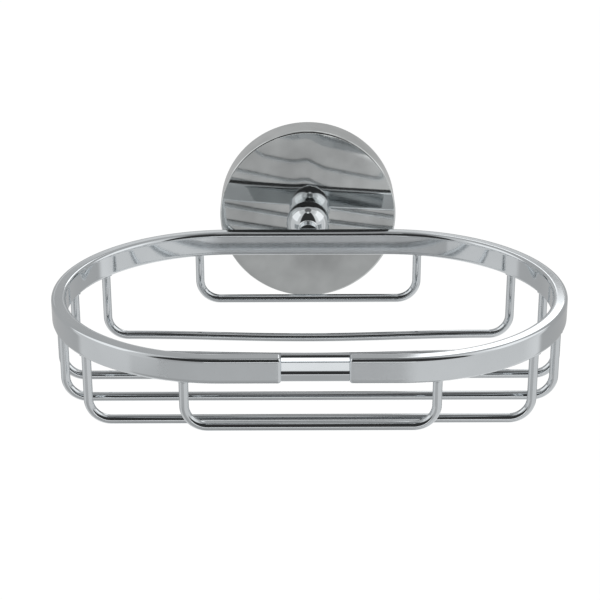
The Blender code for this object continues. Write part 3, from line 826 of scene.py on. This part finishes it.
class SOAPHOLDER_OT_post(bpy.types.Operator):
    """Turn the post: a foot on the rosette, a ball, and a neck that is brazed to the band"""

    bl_idname = "soapholder.post"
    bl_label = "Ball Post"

    def execute(self, context):
        size = sizes()
        ball, foot, neck = size.ball_diameter / 2, size.foot_diameter / 2, size.neck_diameter / 2
        band_rear = -BAND_BOX[1, 1]
        face = rosette_face(size)
        middle = band_rear - size.neck_length - ball
        fillet = size.neck_fillet
        fillet_radius_at = neck + fillet
        reach = ball + fillet
        fillet_height = middle + np.sqrt(reach ** 2 - fillet_radius_at ** 2)
        neck_angle = np.degrees(np.arccos(fillet_radius_at / reach))
        foot_angle = -np.degrees(np.arccos((foot + FOOT_COVE) / (ball + FOOT_COVE)))
        cove_height = middle + (ball + FOOT_COVE) * np.sin(np.radians(foot_angle))
        braze = size.braze
        hole = (BOLT_SHANK + BOLT_SLIP) / 2
        hole_end = -BOLT_BOX[0, 1] + BOLT_POINT_SPACE
        profile = outline(
            (0, band_rear + BRAZE_DEPTH),
            (neck + braze, band_rear + BRAZE_DEPTH),
            (neck + braze, band_rear),
            arc((neck + braze, band_rear - braze), braze, 90, 180, EDGE_STEPS),
            arc((fillet_radius_at, fillet_height), fillet, 180, 180 + neck_angle, CORNER_STEPS),
            arc((0, middle), ball, neck_angle, foot_angle, BALL_STEPS),
            arc((foot + FOOT_COVE, cove_height), FOOT_COVE, 180 + foot_angle, 180, EDGE_STEPS),
            arc((foot - FOOT_EDGE, face + FOOT_EDGE), FOOT_EDGE, 0, -90, SOFT_STEPS),
            (hole, face),
            (hole, hole_end),
            (0, hole_end),
        )
        post = ring_surface("chromed_post", turned(finely(profile, POST_STEP), AROUND, "room"))
        hand_over(post, "ball_post", chrome("post_chrome", POST_GLOSS_SHARE))
        return {"FINISHED"}


def rim_path(right_end, left_end, size):
    """Middle line of the band with its sideways directions, from its right end in front to its left.

    Each rounded end is half an ellipse, x = straight / 2 + a cos t and y = b sin t, and straights join
    them behind and up to the two ends in front.
    """
    half_straight = size.band_straight / 2
    reach = BAND_BOX[1, 0] - half_straight - size.band_thickness / 2
    depth = (BAND_BOX[1, 1] - BAND_BOX[0, 1] - size.band_thickness) / 2
    middle = (BAND_BOX[0, 1] + BAND_BOX[1, 1]) / 2
    right = np.linspace(right_end, half_straight, FRONT_STEPS, endpoint=False)
    left = np.linspace(left_end, -half_straight, FRONT_STEPS, endpoint=False)[::-1]
    back = np.linspace(half_straight, -half_straight, BACK_STEPS)[1:-1]
    turn = np.linspace(-np.pi / 2, np.pi / 2, END_STEPS)
    end_x, end_y = half_straight + reach * np.cos(turn), depth * np.sin(turn)
    normal_x, normal_y = depth * np.cos(turn), reach * np.sin(turn)
    length = np.hypot(normal_x, normal_y)
    normal_x, normal_y = normal_x / length, normal_y / length
    x = np.concatenate([right, end_x, back, -end_x[::-1], left])
    y = np.concatenate([-depth + 0 * right, end_y, depth + 0 * back, end_y[::-1], -depth + 0 * left])
    sideways_x = np.concatenate([0 * right, normal_x, 0 * back, -normal_x[::-1], 0 * left])
    sideways_y = np.concatenate([-1 + 0 * right, normal_y, 1 + 0 * back, normal_y[::-1], -1 + 0 * left])
    return np.stack([x, y + middle], axis=1), np.stack([sideways_x, sideways_y], axis=1)


def finely_closed(line, step):
    """Cut a closed line's straight runs, also the last one back to its start, into short pieces."""
    return finely(np.concatenate([line, line[:1]]), step)[:-1]


def rounded_section(half_side, half_height, radius):
    """A rectangle with round corners as offsets to the side and up, each flat cut finely."""
    corners = [(1, 1), (-1, 1), (-1, -1), (1, -1)]
    x, z = half_side - radius, half_height - radius
    parts = [
        arc((right * x, up * z), radius, 90 * quarter, 90 * quarter + 90, CORNER_STEPS)
        for quarter, (right, up) in enumerate(corners)
    ]
    return finely_closed(outline(*parts), SECTION_STEP)


class SOAPHOLDER_OT_band(bpy.types.Operator):
    """Sweep the flat band round its oval and round its two ends at the joiner"""

    bl_idname = "soapholder.band"
    bl_label = "Rim Band"

    def execute(self, context):
        size = sizes()
        half_thickness = size.band_thickness / 2
        half_height = (BAND_BOX[1, 2] - BAND_BOX[0, 2]) / 2
        middle_z = (BAND_BOX[1, 2] + BAND_BOX[0, 2]) / 2
        rounding = size.band_end_rounding
        middle_x = (JOINER_BOX[0, 0] + JOINER_BOX[1, 0]) / 2
        opening = size.joiner_length / 2 + BRAZE_GAP
        right_end, left_end = middle_x + opening, middle_x - opening
        path, sideways = rim_path(right_end + rounding, left_end - rounding, size)
        section = rounded_section(half_thickness, half_height, size.band_edge)
        swept_xy = path[:, None, :] + section[None, :, :1] * sideways[:, None, :]
        swept_z = middle_z + section[None, :, 1] + 0 * swept_xy[..., 0]
        swept = np.concatenate([swept_xy, swept_z[..., None]], axis=-1)
        turn = np.linspace(0, np.pi / 2, CORNER_STEPS, endpoint=False)
        inset = rounding * (1 - np.sin(turn))
        advance = rounding * (1 - np.cos(turn))
        end_y = path[0, 1] - section[None, :, 0] * (1 - inset[:, None] / half_thickness)
        end_z = middle_z + section[None, :, 1] * (1 - inset[:, None] / half_height)
        right, left = (
            np.stack([at[:, None] + 0 * end_y, end_y, end_z], axis=-1)
            for at in (right_end + advance, left_end - advance)
        )
        rings = capped(np.concatenate([right, swept, left[::-1]]))
        band = ring_surface("chromed_band", rings, (run_lengths(rings[:, 0]), closed_lengths(section)))
        radius = size.spigot_diameter / 2 + SPIGOT_SLIP
        reach = half_width(*JOINER_BOX) + SPIGOT_SLIP
        hole = rod(radius, reach, -reach)
        spigot_z = JOINER_BOX[:, 2].mean()
        where = np.array([middle_x, JOINER_BOX[1, 1] - size.spigot_inset, spigot_z])
        cut_out(band, ring_surface("spigot_sockets", turned(hole, HOLE_AROUND, "right") + where))
        look = chrome("rim_chrome", RIM_GLOSS_SHARE, wave=RIM_WAVE, lines=RIM_LINES)
        hand_over(band, "rim_band", look)
        return {"FINISHED"}


def bar_surface(name, rows, where):
    """Sweep sections along X: each row is a distance along and a section's points to the rear and up."""
    rings = np.stack([np.insert(section, 0, x, axis=1) for x, section in rows]) + np.array(where)
    along = run_lengths(np.array([[x] for x, section in rows]))
    return ring_surface(name, rings, (along, closed_lengths(rows[len(rows) // 2][1])))


class SOAPHOLDER_OT_joiner(bpy.types.Operator):
    """Draw the bar that closes the band in front: a lip, a recess, a ledge and a rounded nose"""

    bl_idname = "soapholder.joiner"
    bl_label = "Front Joiner"

    def execute(self, context):
        size = sizes()
        low, high = JOINER_BOX
        middle_x = (low[0] + high[0]) / 2
        half_length = size.joiner_length / 2 + BRAZE_GAP
        edge, lip, nose = size.joiner_edge / 2, size.joiner_lip, size.joiner_nose
        nose_z = low[2] + size.joiner_nose_height
        foot_z = high[2] - lip - size.joiner_wall
        foot_y = -size.joiner_recess - size.joiner_wall * np.tan(np.radians(JOINER_LEAN))
        ledge = np.radians(JOINER_LEDGE)
        ledge_end_z = nose_z + nose * np.sin(ledge)
        ledge_end_y = foot_y - (foot_z - ledge_end_z) * np.tan(ledge)
        nose_y = ledge_end_y + nose * np.cos(ledge)
        under = np.radians(JOINER_UNDER)
        under_start = np.array([nose_y - nose * np.cos(under), nose_z + nose * np.sin(under)])
        run = under_start[1] - low[2] - edge
        under_end = under_start + np.array([-run * np.tan(under), -run])
        top_y = size.joiner_lip_reach - lip
        line = outline(
            arc((-edge, high[2] - edge), edge, 0, 90, EDGE_STEPS),
            arc((-top_y, high[2] - lip), lip, 90, 180, LIP_STEPS),
            (-size.joiner_recess, high[2] - lip),
            (foot_y, foot_z),
            arc((nose_y, nose_z), nose, 180 - JOINER_LEDGE, 180 - JOINER_UNDER, NOSE_STEPS),
            under_end,
            under_end + np.array([edge, -edge]),
            arc((-edge, low[2] + edge), edge, 270, 360, EDGE_STEPS),
        )
        spigot_at = np.array([-size.spigot_inset, JOINER_BOX[:, 2].mean()])
        bar = finely_closed(line, JOINER_STEP) - spigot_at
        angle = np.arctan2(bar[:, 1], bar[:, 0])
        spigot = size.spigot_diameter / 2 * np.stack([np.cos(angle), np.sin(angle)], axis=1)
        far = half_width(low, high)
        rows = [(x, bar) for x in np.linspace(half_length, -half_length, JOINER_STEPS)]
        rows = [(far, 0 * spigot), (far, spigot), (half_length, spigot), *rows,
                (-half_length, spigot), (-far, spigot), (-far, 0 * spigot)]
        bar_piece = bar_surface("chromed_joiner", rows, (middle_x, high[1] + spigot_at[0], spigot_at[1]))
        # Painted light: the joiner gets a brighter copy of the chrome, so that its reflections come out
        # lighter
        joiner_painted_light_colour = tuple(min(1, JOINER_PAINTED_LIGHT_SHARE * part) for part in finishes().chrome_colour)
        look = chrome("joiner_chrome", JOINER_GLOSS_SHARE, joiner_painted_light_colour)
        hand_over(bar_piece, "rim_joiner", look)
        return {"FINISHED"}


def wire_path(half_span, floor_z, top_z, bend, sag):
    """One U in the plane across the wall: points and the directions outward from the U's inside.

    The legs are straight, each bend is a quarter circle, and the floor between the bends hangs down as
    one wave of a cosine.
    """
    corner_x, corner_z = half_span - bend, floor_z + bend
    leg_top = np.linspace(top_z, top_z - WIRE_TOP, WIRE_TOP_STEPS)
    leg = np.concatenate([leg_top, np.linspace(leg_top[-1], corner_z, LEG_STEPS)[1:]])
    turn = np.linspace(0, np.pi / 2, BEND_STEPS)[1:]
    floor = np.linspace(corner_x, -corner_x, FLOOR_STEPS)[1:-1]
    wave = np.pi * floor / corner_x
    slope = sag / 2 * np.pi / corner_x * np.sin(wave)
    stretch = np.hypot(1, slope)
    right_x = np.concatenate([half_span + 0 * leg, corner_x + bend * np.cos(turn)])
    right_z = np.concatenate([leg, corner_z - bend * np.sin(turn)])
    out_x = np.concatenate([1 + 0 * leg, np.cos(turn)])
    out_z = np.concatenate([0 * leg, -np.sin(turn)])
    x = np.concatenate([right_x, floor, -right_x[::-1]])
    z = np.concatenate([right_z, floor_z - sag * (1 + np.cos(wave)) / 2, right_z[::-1]])
    side_x = np.concatenate([out_x, slope / stretch, -out_x[::-1]])
    side_z = np.concatenate([out_z, -1 / stretch, out_z[::-1]])
    return np.stack([x, z], axis=1), np.stack([side_x, side_z], axis=1)


class SOAPHOLDER_OT_wires(bpy.types.Operator):
    """Draw the seven U-shaped wires and braze their ends to the band's underside"""

    bl_idname = "soapholder.wires"
    bl_label = "Basket Wires"

    def execute(self, context):
        size = sizes()
        look = chrome("wire_chrome", WIRE_GLOSS_SHARE, lines=WIRE_LINES)
        angle = around_angles(WIRE_AROUND)
        underside = BAND_BOX[0, 2]
        for number in range(1, WIRE_COUNT + 1):
            low, high = node_box(f"basket_wire_{number}")
            radius = (high[1] - low[1]) / 2
            middle_y = (high[1] + low[1]) / 2
            half_span = half_width(low, high) - radius
            sag = size.basket_sag if number in SAGGING_WIRES else 0
            floor_z = low[2] + radius + sag
            path, outward = wire_path(half_span, floor_z, underside + BRAZE_DEPTH, size.wire_bend, sag)
            below = np.clip(underside - path[:, 1], 0, size.braze)
            swell = size.braze - np.sqrt(size.braze ** 2 - (size.braze - below) ** 2)
            thick = (radius + swell)[:, None]
            x = path[:, :1] + thick * np.cos(angle) * outward[:, :1]
            z = path[:, 1:] + thick * np.cos(angle) * outward[:, 1:]
            y = middle_y + thick * np.sin(angle)
            rings = capped(np.stack([x, y, z], axis=-1))
            along = radius + run_lengths(path)
            along = np.concatenate([[0], along, along[-1:] + radius])
            over = np.linspace(0, 2 * np.pi * radius, WIRE_AROUND + 1)
            wire = ring_surface(f"chromed_wire_{number}", rings, (along, over))
            hand_over(wire, f"basket_wire_{number}", look)
        return {"FINISHED"}


# Fixing behind the rosette


def profile_rows(profile):
    """A profile's radii and heights, the same all the way round."""
    profile = np.array(profile)
    return profile[:, :1] * np.ones(AROUND), profile[:, 1:] * np.ones(AROUND)


def socket_rows(edge, mouth, floor, share=1.0):
    """Rows of a recess: the middle of its floor, its floor's edge as a share of its mouth's, its mouth."""
    level = np.array([[floor], [floor], [mouth]]) + 0 * edge
    return np.stack([0 * edge, share * edge, edge]), level


def stacked(*rows):
    """Join pairs of radii and heights to one pair."""
    return np.concatenate([part[0] for part in rows]), np.concatenate([part[1] for part in rows])


class SOAPHOLDER_OT_plate(bpy.types.Operator):
    """Turn the cast wall plate with its groove and pocket, and sink its two screw holes"""

    bl_idname = "soapholder.plate"
    bl_label = "Wall Plate"

    def execute(self, context):
        radius = half_width(*PLATE_BOX)
        top = -PLATE_BOX[0, 1]
        hub = PLATE_POCKET + PLATE_HUB_WALL
        rim = radius - PLATE_RIM
        soft = PLATE_EDGE
        profile = outline(
            (0, PLATE_FLOOR),
            (PLATE_POCKET - PLATE_DRAFT, PLATE_FLOOR),
            (PLATE_POCKET, top),
            arc((hub - soft, top - soft), soft, 90, 10, SOFT_STEPS),
            arc((hub + PLATE_DRAFT + soft, PLATE_WEB + soft), soft, 190, 270, SOFT_STEPS),
            arc((rim - PLATE_DRAFT - soft, PLATE_WEB + soft), soft, 270, 350, SOFT_STEPS),
            arc((rim + soft, top - soft), soft, 170, 90, SOFT_STEPS),
            arc((radius - soft, top - soft), soft, 90, 0, SOFT_STEPS),
            (radius, GROOVE_MIDDLE + GROOVE_HALF),
            (radius - GROOVE_DEPTH, GROOVE_MIDDLE + GROOVE_FLAT),
            (radius - GROOVE_DEPTH, GROOVE_MIDDLE - GROOVE_FLAT),
            (radius, GROOVE_MIDDLE - GROOVE_HALF),
            (radius, 0),
            (0, 0),
        )
        plate = ring_surface("cast_plate", turned(finely(profile, PLATE_STEP), ROSETTE_AROUND, "room"))
        shank = SCREW_SHANK + SCREW_SLIP
        for side, low, high, where in sides("wall_screw"):
            head = half_width(low, high) + SCREW_SLIP
            height = -low[1]
            hole = np.array([
                (0, top + CUT_OVERRUN), (head, top + CUT_OVERRUN), (head, height - SCREW_LAND),
                (shank, height - SCREW_HEAD_HEIGHT), (shank, -CUT_OVERRUN), (0, -CUT_OVERRUN),
            ])
            grid = turned(hole, SMALL_AROUND, "room") + where
            cut_out(plate, ring_surface(f"screw_hole_{side}", grid))
        look = cast_zinc("plate_zinc", finishes().zinc_colour)
        hand_over(plate, "wall_plate", look)
        return {"FINISHED"}


class SOAPHOLDER_OT_screws(bpy.types.Operator):
    """Turn the two countersunk wall screws with their cross recess and coarse thread"""

    bl_idname = "soapholder.screws"
    bl_label = "Wall Screws"

    def execute(self, context):
        look = plated_steel("screw_steel", finishes().steel_colour, SCREW_ROUGHNESS)
        angle = around_angles(AROUND)
        cross = cross_radius(angle, CROSS_LENGTH, CROSS_WIDTH)
        for side, low, high, where in sides("wall_screw"):
            head = half_width(low, high)
            top, point = -low[1], -high[1]
            neck = top - SCREW_HEAD_HEIGHT
            taper = point + SCREW_TIP_LENGTH
            rows = stacked(
                socket_rows(cross, top, top - CROSS_DEPTH, CROSS_FLOOR_SHARE),
                profile_rows([(head, top), (head, top - SCREW_LAND), (SCREW_SHANK, neck)]),
                thread_rows(SCREW_SHANK, SCREW_THREAD, SCREW_PITCH, neck - SCREW_THREAD, taper, SCREW_FADE),
                profile_rows([(SCREW_TIP, point), (0, point)]),
            )
            grid = spun(*rows, angle, "room") + where
            screw = ring_surface(f"countersunk_screw_{side}", grid)
            hand_over(screw, f"wall_screw_{side}", look)
        return {"FINISHED"}


class SOAPHOLDER_OT_plugs(bpy.types.Operator):
    """Turn the two barbed nylon plugs and slit them from their far end"""

    bl_idname = "soapholder.plugs"
    bl_label = "Wall Plugs"

    def execute(self, context):
        look = nylon("plug_nylon", finishes().nylon_colour)
        for side, low, high, where in sides("wall_plug"):
            collar = half_width(low, high)
            top, end = -low[1], -high[1]
            first = top - PLUG_COLLAR_HEIGHT
            root = PLUG_BODY - PLUG_BARB
            barb = (first - end) / PLUG_BARBS
            crest = first - barb * np.arange(1, PLUG_BARBS)
            barbs = np.stack([
                np.tile([PLUG_BODY, PLUG_BODY, root], PLUG_BARBS - 1),
                np.repeat(crest, 3) + np.tile([PLUG_BARB_LAND, 0, 0], PLUG_BARBS - 1),
            ], axis=1)
            profile = outline((PLUG_BORE, top), (collar, top), (collar, first), (root, first), barbs,
                              (root, end), (PLUG_BORE, end))
            grid = turned(finely(profile, PLUG_STEP), SMALL_AROUND, "room") + where
            plug = ring_surface(f"nylon_plug_{side}", grid, loop=True)
            slit = (top - end) * PLUG_SLIT_SHARE
            corner = np.array([PLUG_SLIT / 2, 0, collar])
            start = where - corner + np.array([0, -end - slit, 0])
            stop = where + corner + np.array([0, -end + CUT_OVERRUN, 0])
            cut_out(plug, block("plug_slit", start, stop))
            hand_over(plug, f"wall_plug_{side}", look)
        return {"FINISHED"}


class SOAPHOLDER_OT_grub_screw(bpy.types.Operator):
    """Turn the cone-pointed locking screw with its hexagon socket and thread"""

    bl_idname = "soapholder.grub_screw"
    bl_label = "Locking Screw"

    def execute(self, context):
        radius = half_width(*GRUB_BOX)
        outer, point = -GRUB_BOX[0, 2], -GRUB_BOX[1, 2]
        angle = around_angles(AROUND)
        start = outer - GRUB_CHAMFER
        rows = stacked(
            socket_rows(hexagon_radius(angle, GRUB_SOCKET), outer, outer - GRUB_SOCKET_DEPTH),
            profile_rows([(radius - GRUB_CHAMFER, outer), (radius, start)]),
            thread_rows(radius, GRUB_THREAD, GRUB_PITCH, start, point + GRUB_CONE, GRUB_FADE),
            profile_rows([(GRUB_TIP, point), (0, point)]),
        )
        where = (GRUB_BOX[0] + GRUB_BOX[1]) / 2
        grid = spun(*rows, angle, "down") + np.array([0, where[1], 0])
        screw = ring_surface("cone_point_screw", grid)
        look = plated_steel("grub_steel", GRUB_COLOUR, GRUB_ROUGHNESS)
        hand_over(screw, "grub_screw", look)
        return {"FINISHED"}


class SOAPHOLDER_OT_bolt(bpy.types.Operator):
    """Turn the button-head bolt that holds the post, with its socket and thread"""

    bl_idname = "soapholder.bolt"
    bl_label = "Post Bolt"

    def execute(self, context):
        tip, head_end = -BOLT_BOX[0, 1], -BOLT_BOX[1, 1]
        head = half_width(*BOLT_BOX)
        shoulder = head_end + BOLT_HEAD_HEIGHT
        shank = BOLT_SHANK / 2
        angle = around_angles(AROUND)
        crown = BOLT_HEAD_HEIGHT - BOLT_HEAD_EDGE
        turn = np.linspace(0, np.pi / 2, DOME_STEPS, endpoint=False)
        land = BOLT_SOCKET / 2 / np.cos(np.pi / 6) + BOLT_SOCKET_LAND
        dome = np.stack([head * np.cos(turn), shoulder - BOLT_HEAD_EDGE - crown * np.sin(turn)], axis=1)
        socket = socket_rows(hexagon_radius(angle, BOLT_SOCKET), head_end, head_end + BOLT_SOCKET_DEPTH)
        thread_end = shoulder + BOLT_FADE
        rows = stacked(
            profile_rows([(0, tip), (shank - BOLT_CHAMFER, tip)]),
            thread_rows(shank, BOLT_THREAD, BOLT_PITCH, tip - BOLT_CHAMFER, thread_end, BOLT_FADE),
            profile_rows([(shank, shoulder), (head, shoulder), *dome[dome[:, 0] > land], (land, head_end)]),
            [part[::-1] for part in socket],
        )
        bolt = ring_surface("button_head_bolt", spun(*rows, angle, "room"))
        look = plated_steel("bolt_steel", BOLT_COLOUR, SCREW_ROUGHNESS)
        hand_over(bolt, "post_bolt", look)
        return {"FINISHED"}


class SOAPHOLDER_OT_washers(bpy.types.Operator):
    """Turn the plain washer and coil the split spring washer"""

    bl_idname = "soapholder.washers"
    bl_label = "Washers"

    def execute(self, context):
        bore = (BOLT_SHANK + BOLT_SLIP) / 2
        look = plated_steel("washer_steel", finishes().steel_colour, WASHER_ROUGHNESS)
        for node, name in (("flat_washer", "plain_washer"), ("lock_washer", "split_washer")):
            low, high = node_box(node)
            outer = half_width(low, high)
            top, base = -low[1], -high[1]
            soft = outer - WASHER_EDGE
            profile = outline(
                (bore, top), arc((soft, top - WASHER_EDGE), WASHER_EDGE, 90, 0, WASHER_STEPS),
                arc((soft, base + WASHER_EDGE), WASHER_EDGE, 0, -90, WASHER_STEPS), (bore, base),
            )
            washer = ring_surface(name, turned(finely(profile, PLATE_STEP), AROUND, "room"), loop=True)
            if node == "lock_washer":
                start = (-WASHER_SPLIT_HALF, low[1] - CUT_OVERRUN, 0)
                stop = (WASHER_SPLIT_HALF, high[1] + CUT_OVERRUN, outer + CUT_OVERRUN)
                cutter = block("washer_split", start, stop)
                cutter.data.transform(Matrix.Rotation(WASHER_SPLIT_LEAN, 4, "Y"))
                cut_out(washer, cutter)
            hand_over(washer, node, look)
        return {"FINISHED"}


# Studio


def soft_step(value):
    """Smooth step from 0 to 1: three times the square less twice the cube."""
    inside = np.clip(value, 0, 1)
    return inside * inside * (3 - 2 * inside)


def bare_material(name):
    """Make a material with no nodes and return it with its nodes and its links."""
    made = bpy.data.materials.new(name)
    made.use_nodes = True
    made.node_tree.nodes.clear()
    return made, made.node_tree.nodes, made.node_tree.links


def emission_material(name, brightness):
    """Even light whose strength fades to nothing at the card's soft edge."""
    made, nodes, links = bare_material(name)
    glow = add_node(nodes, "ShaderNodeEmission", Strength=brightness)
    clear = nodes.new("ShaderNodeBsdfTransparent")
    edge = nodes.new("ShaderNodeAttribute")
    edge.attribute_name = "card_edge"
    mix = nodes.new("ShaderNodeMixShader")
    out = nodes.new("ShaderNodeOutputMaterial")
    links.new(edge.outputs["Fac"], mix.inputs["Fac"])
    links.new(clear.outputs["BSDF"], mix.inputs[1])
    links.new(glow.outputs["Emission"], mix.inputs[2])
    links.new(mix.outputs["Shader"], out.inputs["Surface"])
    return made


def studio_card(name, middle, half_width, low, high, soft, brightness, distance):
    """Make a curved card round the holder that only mirror surfaces see.

    Its points lie on a sphere, at evenly spaced azimuths and elevations, and a smooth step of the distance
    from its border gives its soft edge.
    """
    azimuth = np.linspace(middle - half_width - soft / 2, middle + half_width + soft / 2, 2 * CARD_STEPS)
    bottom = max(-90, low - soft / 2)
    top = min(90, high + soft / 2)
    elevation = np.linspace(bottom, top, CARD_STEPS)
    a, e = np.meshgrid(azimuth, elevation)
    side = soft_step((half_width + soft / 2 - np.abs(a - middle)) / soft)
    under = 1 if bottom == -90 else soft_step((e - bottom) / soft)
    over = 1 if top == 90 else soft_step((top - e) / soft)
    edge = side * under * over
    a, e = np.radians(a), np.radians(e)
    points = distance * np.stack([np.cos(e) * np.sin(a), -np.cos(e) * np.cos(a), np.sin(e)], axis=-1)
    rows, columns = a.shape
    row, column = np.meshgrid(np.arange(rows - 1), np.arange(columns - 1), indexing="ij")
    first = (row * columns + column).ravel()
    quads = np.stack([first, first + 1, first + columns + 1, first + columns], axis=1)
    mesh = bpy.data.meshes.new(name)
    mesh.from_pydata(points.reshape(-1, 3).tolist(), [], quads.tolist())
    attribute = mesh.attributes.new("card_edge", "FLOAT", "POINT")
    attribute.data.foreach_set("value", edge.ravel().astype(np.float32))
    mesh.materials.append(emission_material(name, brightness))
    card = placed(name, mesh)
    card.visible_camera = False
    card.visible_diffuse = False
    card.visible_transmission = False
    card.visible_shadow = False


def shown_background(nodes, links):
    """1 for what the camera, a mirror or glass sees, and 0 for the light that reaches a matt surface."""
    ray = nodes.new("ShaderNodeLightPath")
    seen = ray.outputs["Is Camera Ray"]
    for kind in ("Is Glossy Ray", "Is Transmission Ray"):
        either = nodes.new("ShaderNodeMath")
        either.operation = "MAXIMUM"
        links.new(seen, either.inputs[0])
        links.new(ray.outputs[kind], either.inputs[1])
        seen = either.outputs[0]
    return seen


class SOAPHOLDER_OT_studio(bpy.types.Operator):
    """Set up the white room, the floor, the cards and the camera"""

    bl_idname = "soapholder.studio"
    bl_label = "Studio"

    def execute(self, context):
        studio = context.scene.soap_holder_studio
        self.white_room(context, studio)
        self.floor(studio)
        for order, card in enumerate(STUDIO_CARDS):
            studio_card(*card, CARD_DISTANCE - CARD_SPACING * order)
        self.camera(context, studio)
        context.scene.view_settings.view_transform = "Standard"
        return {"FINISHED"}

    def white_room(self, context, studio):
        """White where it is seen, and an even plain light on matt surfaces."""
        world = bpy.data.worlds.new("white_room")
        world.use_nodes = True
        nodes, links = world.node_tree.nodes, world.node_tree.links
        nodes.clear()
        seen = add_node(nodes, "ShaderNodeBackground", Color=WHITE, Strength=1)
        lit = add_node(nodes, "ShaderNodeBackground", Color=WHITE, Strength=studio.room_light)
        mix = nodes.new("ShaderNodeMixShader")
        out = nodes.new("ShaderNodeOutputWorld")
        links.new(shown_background(nodes, links), mix.inputs["Fac"])
        links.new(lit.outputs["Background"], mix.inputs[1])
        links.new(seen.outputs["Background"], mix.inputs[2])
        links.new(mix.outputs["Shader"], out.inputs["Surface"])
        context.scene.world = world

    def floor(self, studio):
        """A plain pale floor below the holder that keeps its soft shadow."""
        height = CAD_BOX[0][2] - studio.floor_depth
        signs = ((-1, -1), (1, -1), (1, 1), (-1, 1))
        corners = [(x * FLOOR_HALF_WIDTH, y * FLOOR_HALF_WIDTH, height) for x, y in signs]
        mesh = bpy.data.meshes.new("floor")
        mesh.from_pydata(corners, [], [(0, 1, 2, 3)])
        made, nodes, links = bare_material("floor_white")
        matt = add_node(nodes, "ShaderNodeBsdfDiffuse", Color=FLOOR_GREY)
        glow = nodes.new("ShaderNodeEmission")
        lift = nodes.new("ShaderNodeMath")
        lift.operation = "MULTIPLY"
        lift.inputs[1].default_value = FLOOR_GLOW
        links.new(shown_background(nodes, links), lift.inputs[0])
        links.new(lift.outputs[0], glow.inputs["Strength"])
        both = nodes.new("ShaderNodeAddShader")
        out = nodes.new("ShaderNodeOutputMaterial")
        links.new(matt.outputs["BSDF"], both.inputs[0])
        links.new(glow.outputs["Emission"], both.inputs[1])
        links.new(both.outputs["Shader"], out.inputs["Surface"])
        mesh.materials.append(made)
        floor = placed("floor", mesh)
        floor.visible_glossy = False

    def camera(self, context, studio):
        """Camera at the photograph's place, looking into the wall and down by its pitch."""
        pitch, yaw, roll = CAMERA_PITCH, CAMERA_YAW, CAMERA_ROLL
        forward = np.array([np.sin(yaw) * np.cos(pitch), np.cos(yaw) * np.cos(pitch), -np.sin(pitch)])
        level = np.array([np.cos(yaw), -np.sin(yaw), 0])
        upright = np.cross(level, forward)
        right = np.cos(roll) * level + np.sin(roll) * upright
        up = -np.sin(roll) * level + np.cos(roll) * upright
        columns = np.stack([right, up, -forward, CAMERA_PLACE], axis=1)
        data = bpy.data.cameras.new("camera")
        data.sensor_width = SENSOR_WIDTH
        data.lens = studio.focal_length
        data.clip_start = CLIP_START
        data.clip_end = CLIP_END
        camera = placed("camera", data)
        camera.matrix_world = Matrix(np.vstack([columns, [0, 0, 0, 1]]).tolist())
        context.scene.camera = camera


OPERATORS = (
    SOAPHOLDER_OT_plate,
    SOAPHOLDER_OT_screws,
    SOAPHOLDER_OT_plugs,
    SOAPHOLDER_OT_rosette,
    SOAPHOLDER_OT_grub_screw,
    SOAPHOLDER_OT_bolt,
    SOAPHOLDER_OT_washers,
    SOAPHOLDER_OT_post,
    SOAPHOLDER_OT_band,
    SOAPHOLDER_OT_joiner,
    SOAPHOLDER_OT_wires,
    SOAPHOLDER_OT_studio,
)


class SOAPHOLDER_PT_panel(bpy.types.Panel):
    """Lists the sizes, the finishes and the operators in the sidebar"""

    bl_idname = "SOAPHOLDER_PT_panel"
    bl_label = "Wall Soap Holder"
    bl_space_type = "VIEW_3D"
    bl_region_type = "UI"
    bl_category = "Soap Holder"

    def draw(self, context):
        layout = self.layout
        for group in ("soap_holder_sizes", "soap_holder_finish", "soap_holder_studio"):
            box = layout.box()
            values = getattr(context.scene, group)
            for name in values.bl_rna.properties.keys():
                if name not in ("rna_type", "name"):
                    box.prop(values, name)
        for operator in OPERATORS:
            layout.operator(operator.bl_idname)


CLASSES = (SoapHolderSizes, SoapHolderFinish, SoapHolderStudio, *OPERATORS, SOAPHOLDER_PT_panel)


def register():
    """Register the classes and hang the property groups on the scene."""
    for each in CLASSES:
        bpy.utils.register_class(each)
    bpy.types.Scene.soap_holder_sizes = bpy.props.PointerProperty(type=SoapHolderSizes)
    bpy.types.Scene.soap_holder_finish = bpy.props.PointerProperty(type=SoapHolderFinish)
    bpy.types.Scene.soap_holder_studio = bpy.props.PointerProperty(type=SoapHolderStudio)


def unregister():
    """Take the property groups off the scene and unregister the classes."""
    del bpy.types.Scene.soap_holder_studio
    del bpy.types.Scene.soap_holder_finish
    del bpy.types.Scene.soap_holder_sizes
    for each in reversed(CLASSES):
        bpy.utils.unregister_class(each)


def main():
    """Register the add-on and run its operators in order."""
    register()
    for operator in OPERATORS:
        group, name = operator.bl_idname.split(".")
        getattr(getattr(bpy.ops, group), name)()


if __name__ == "__main__":
    main()
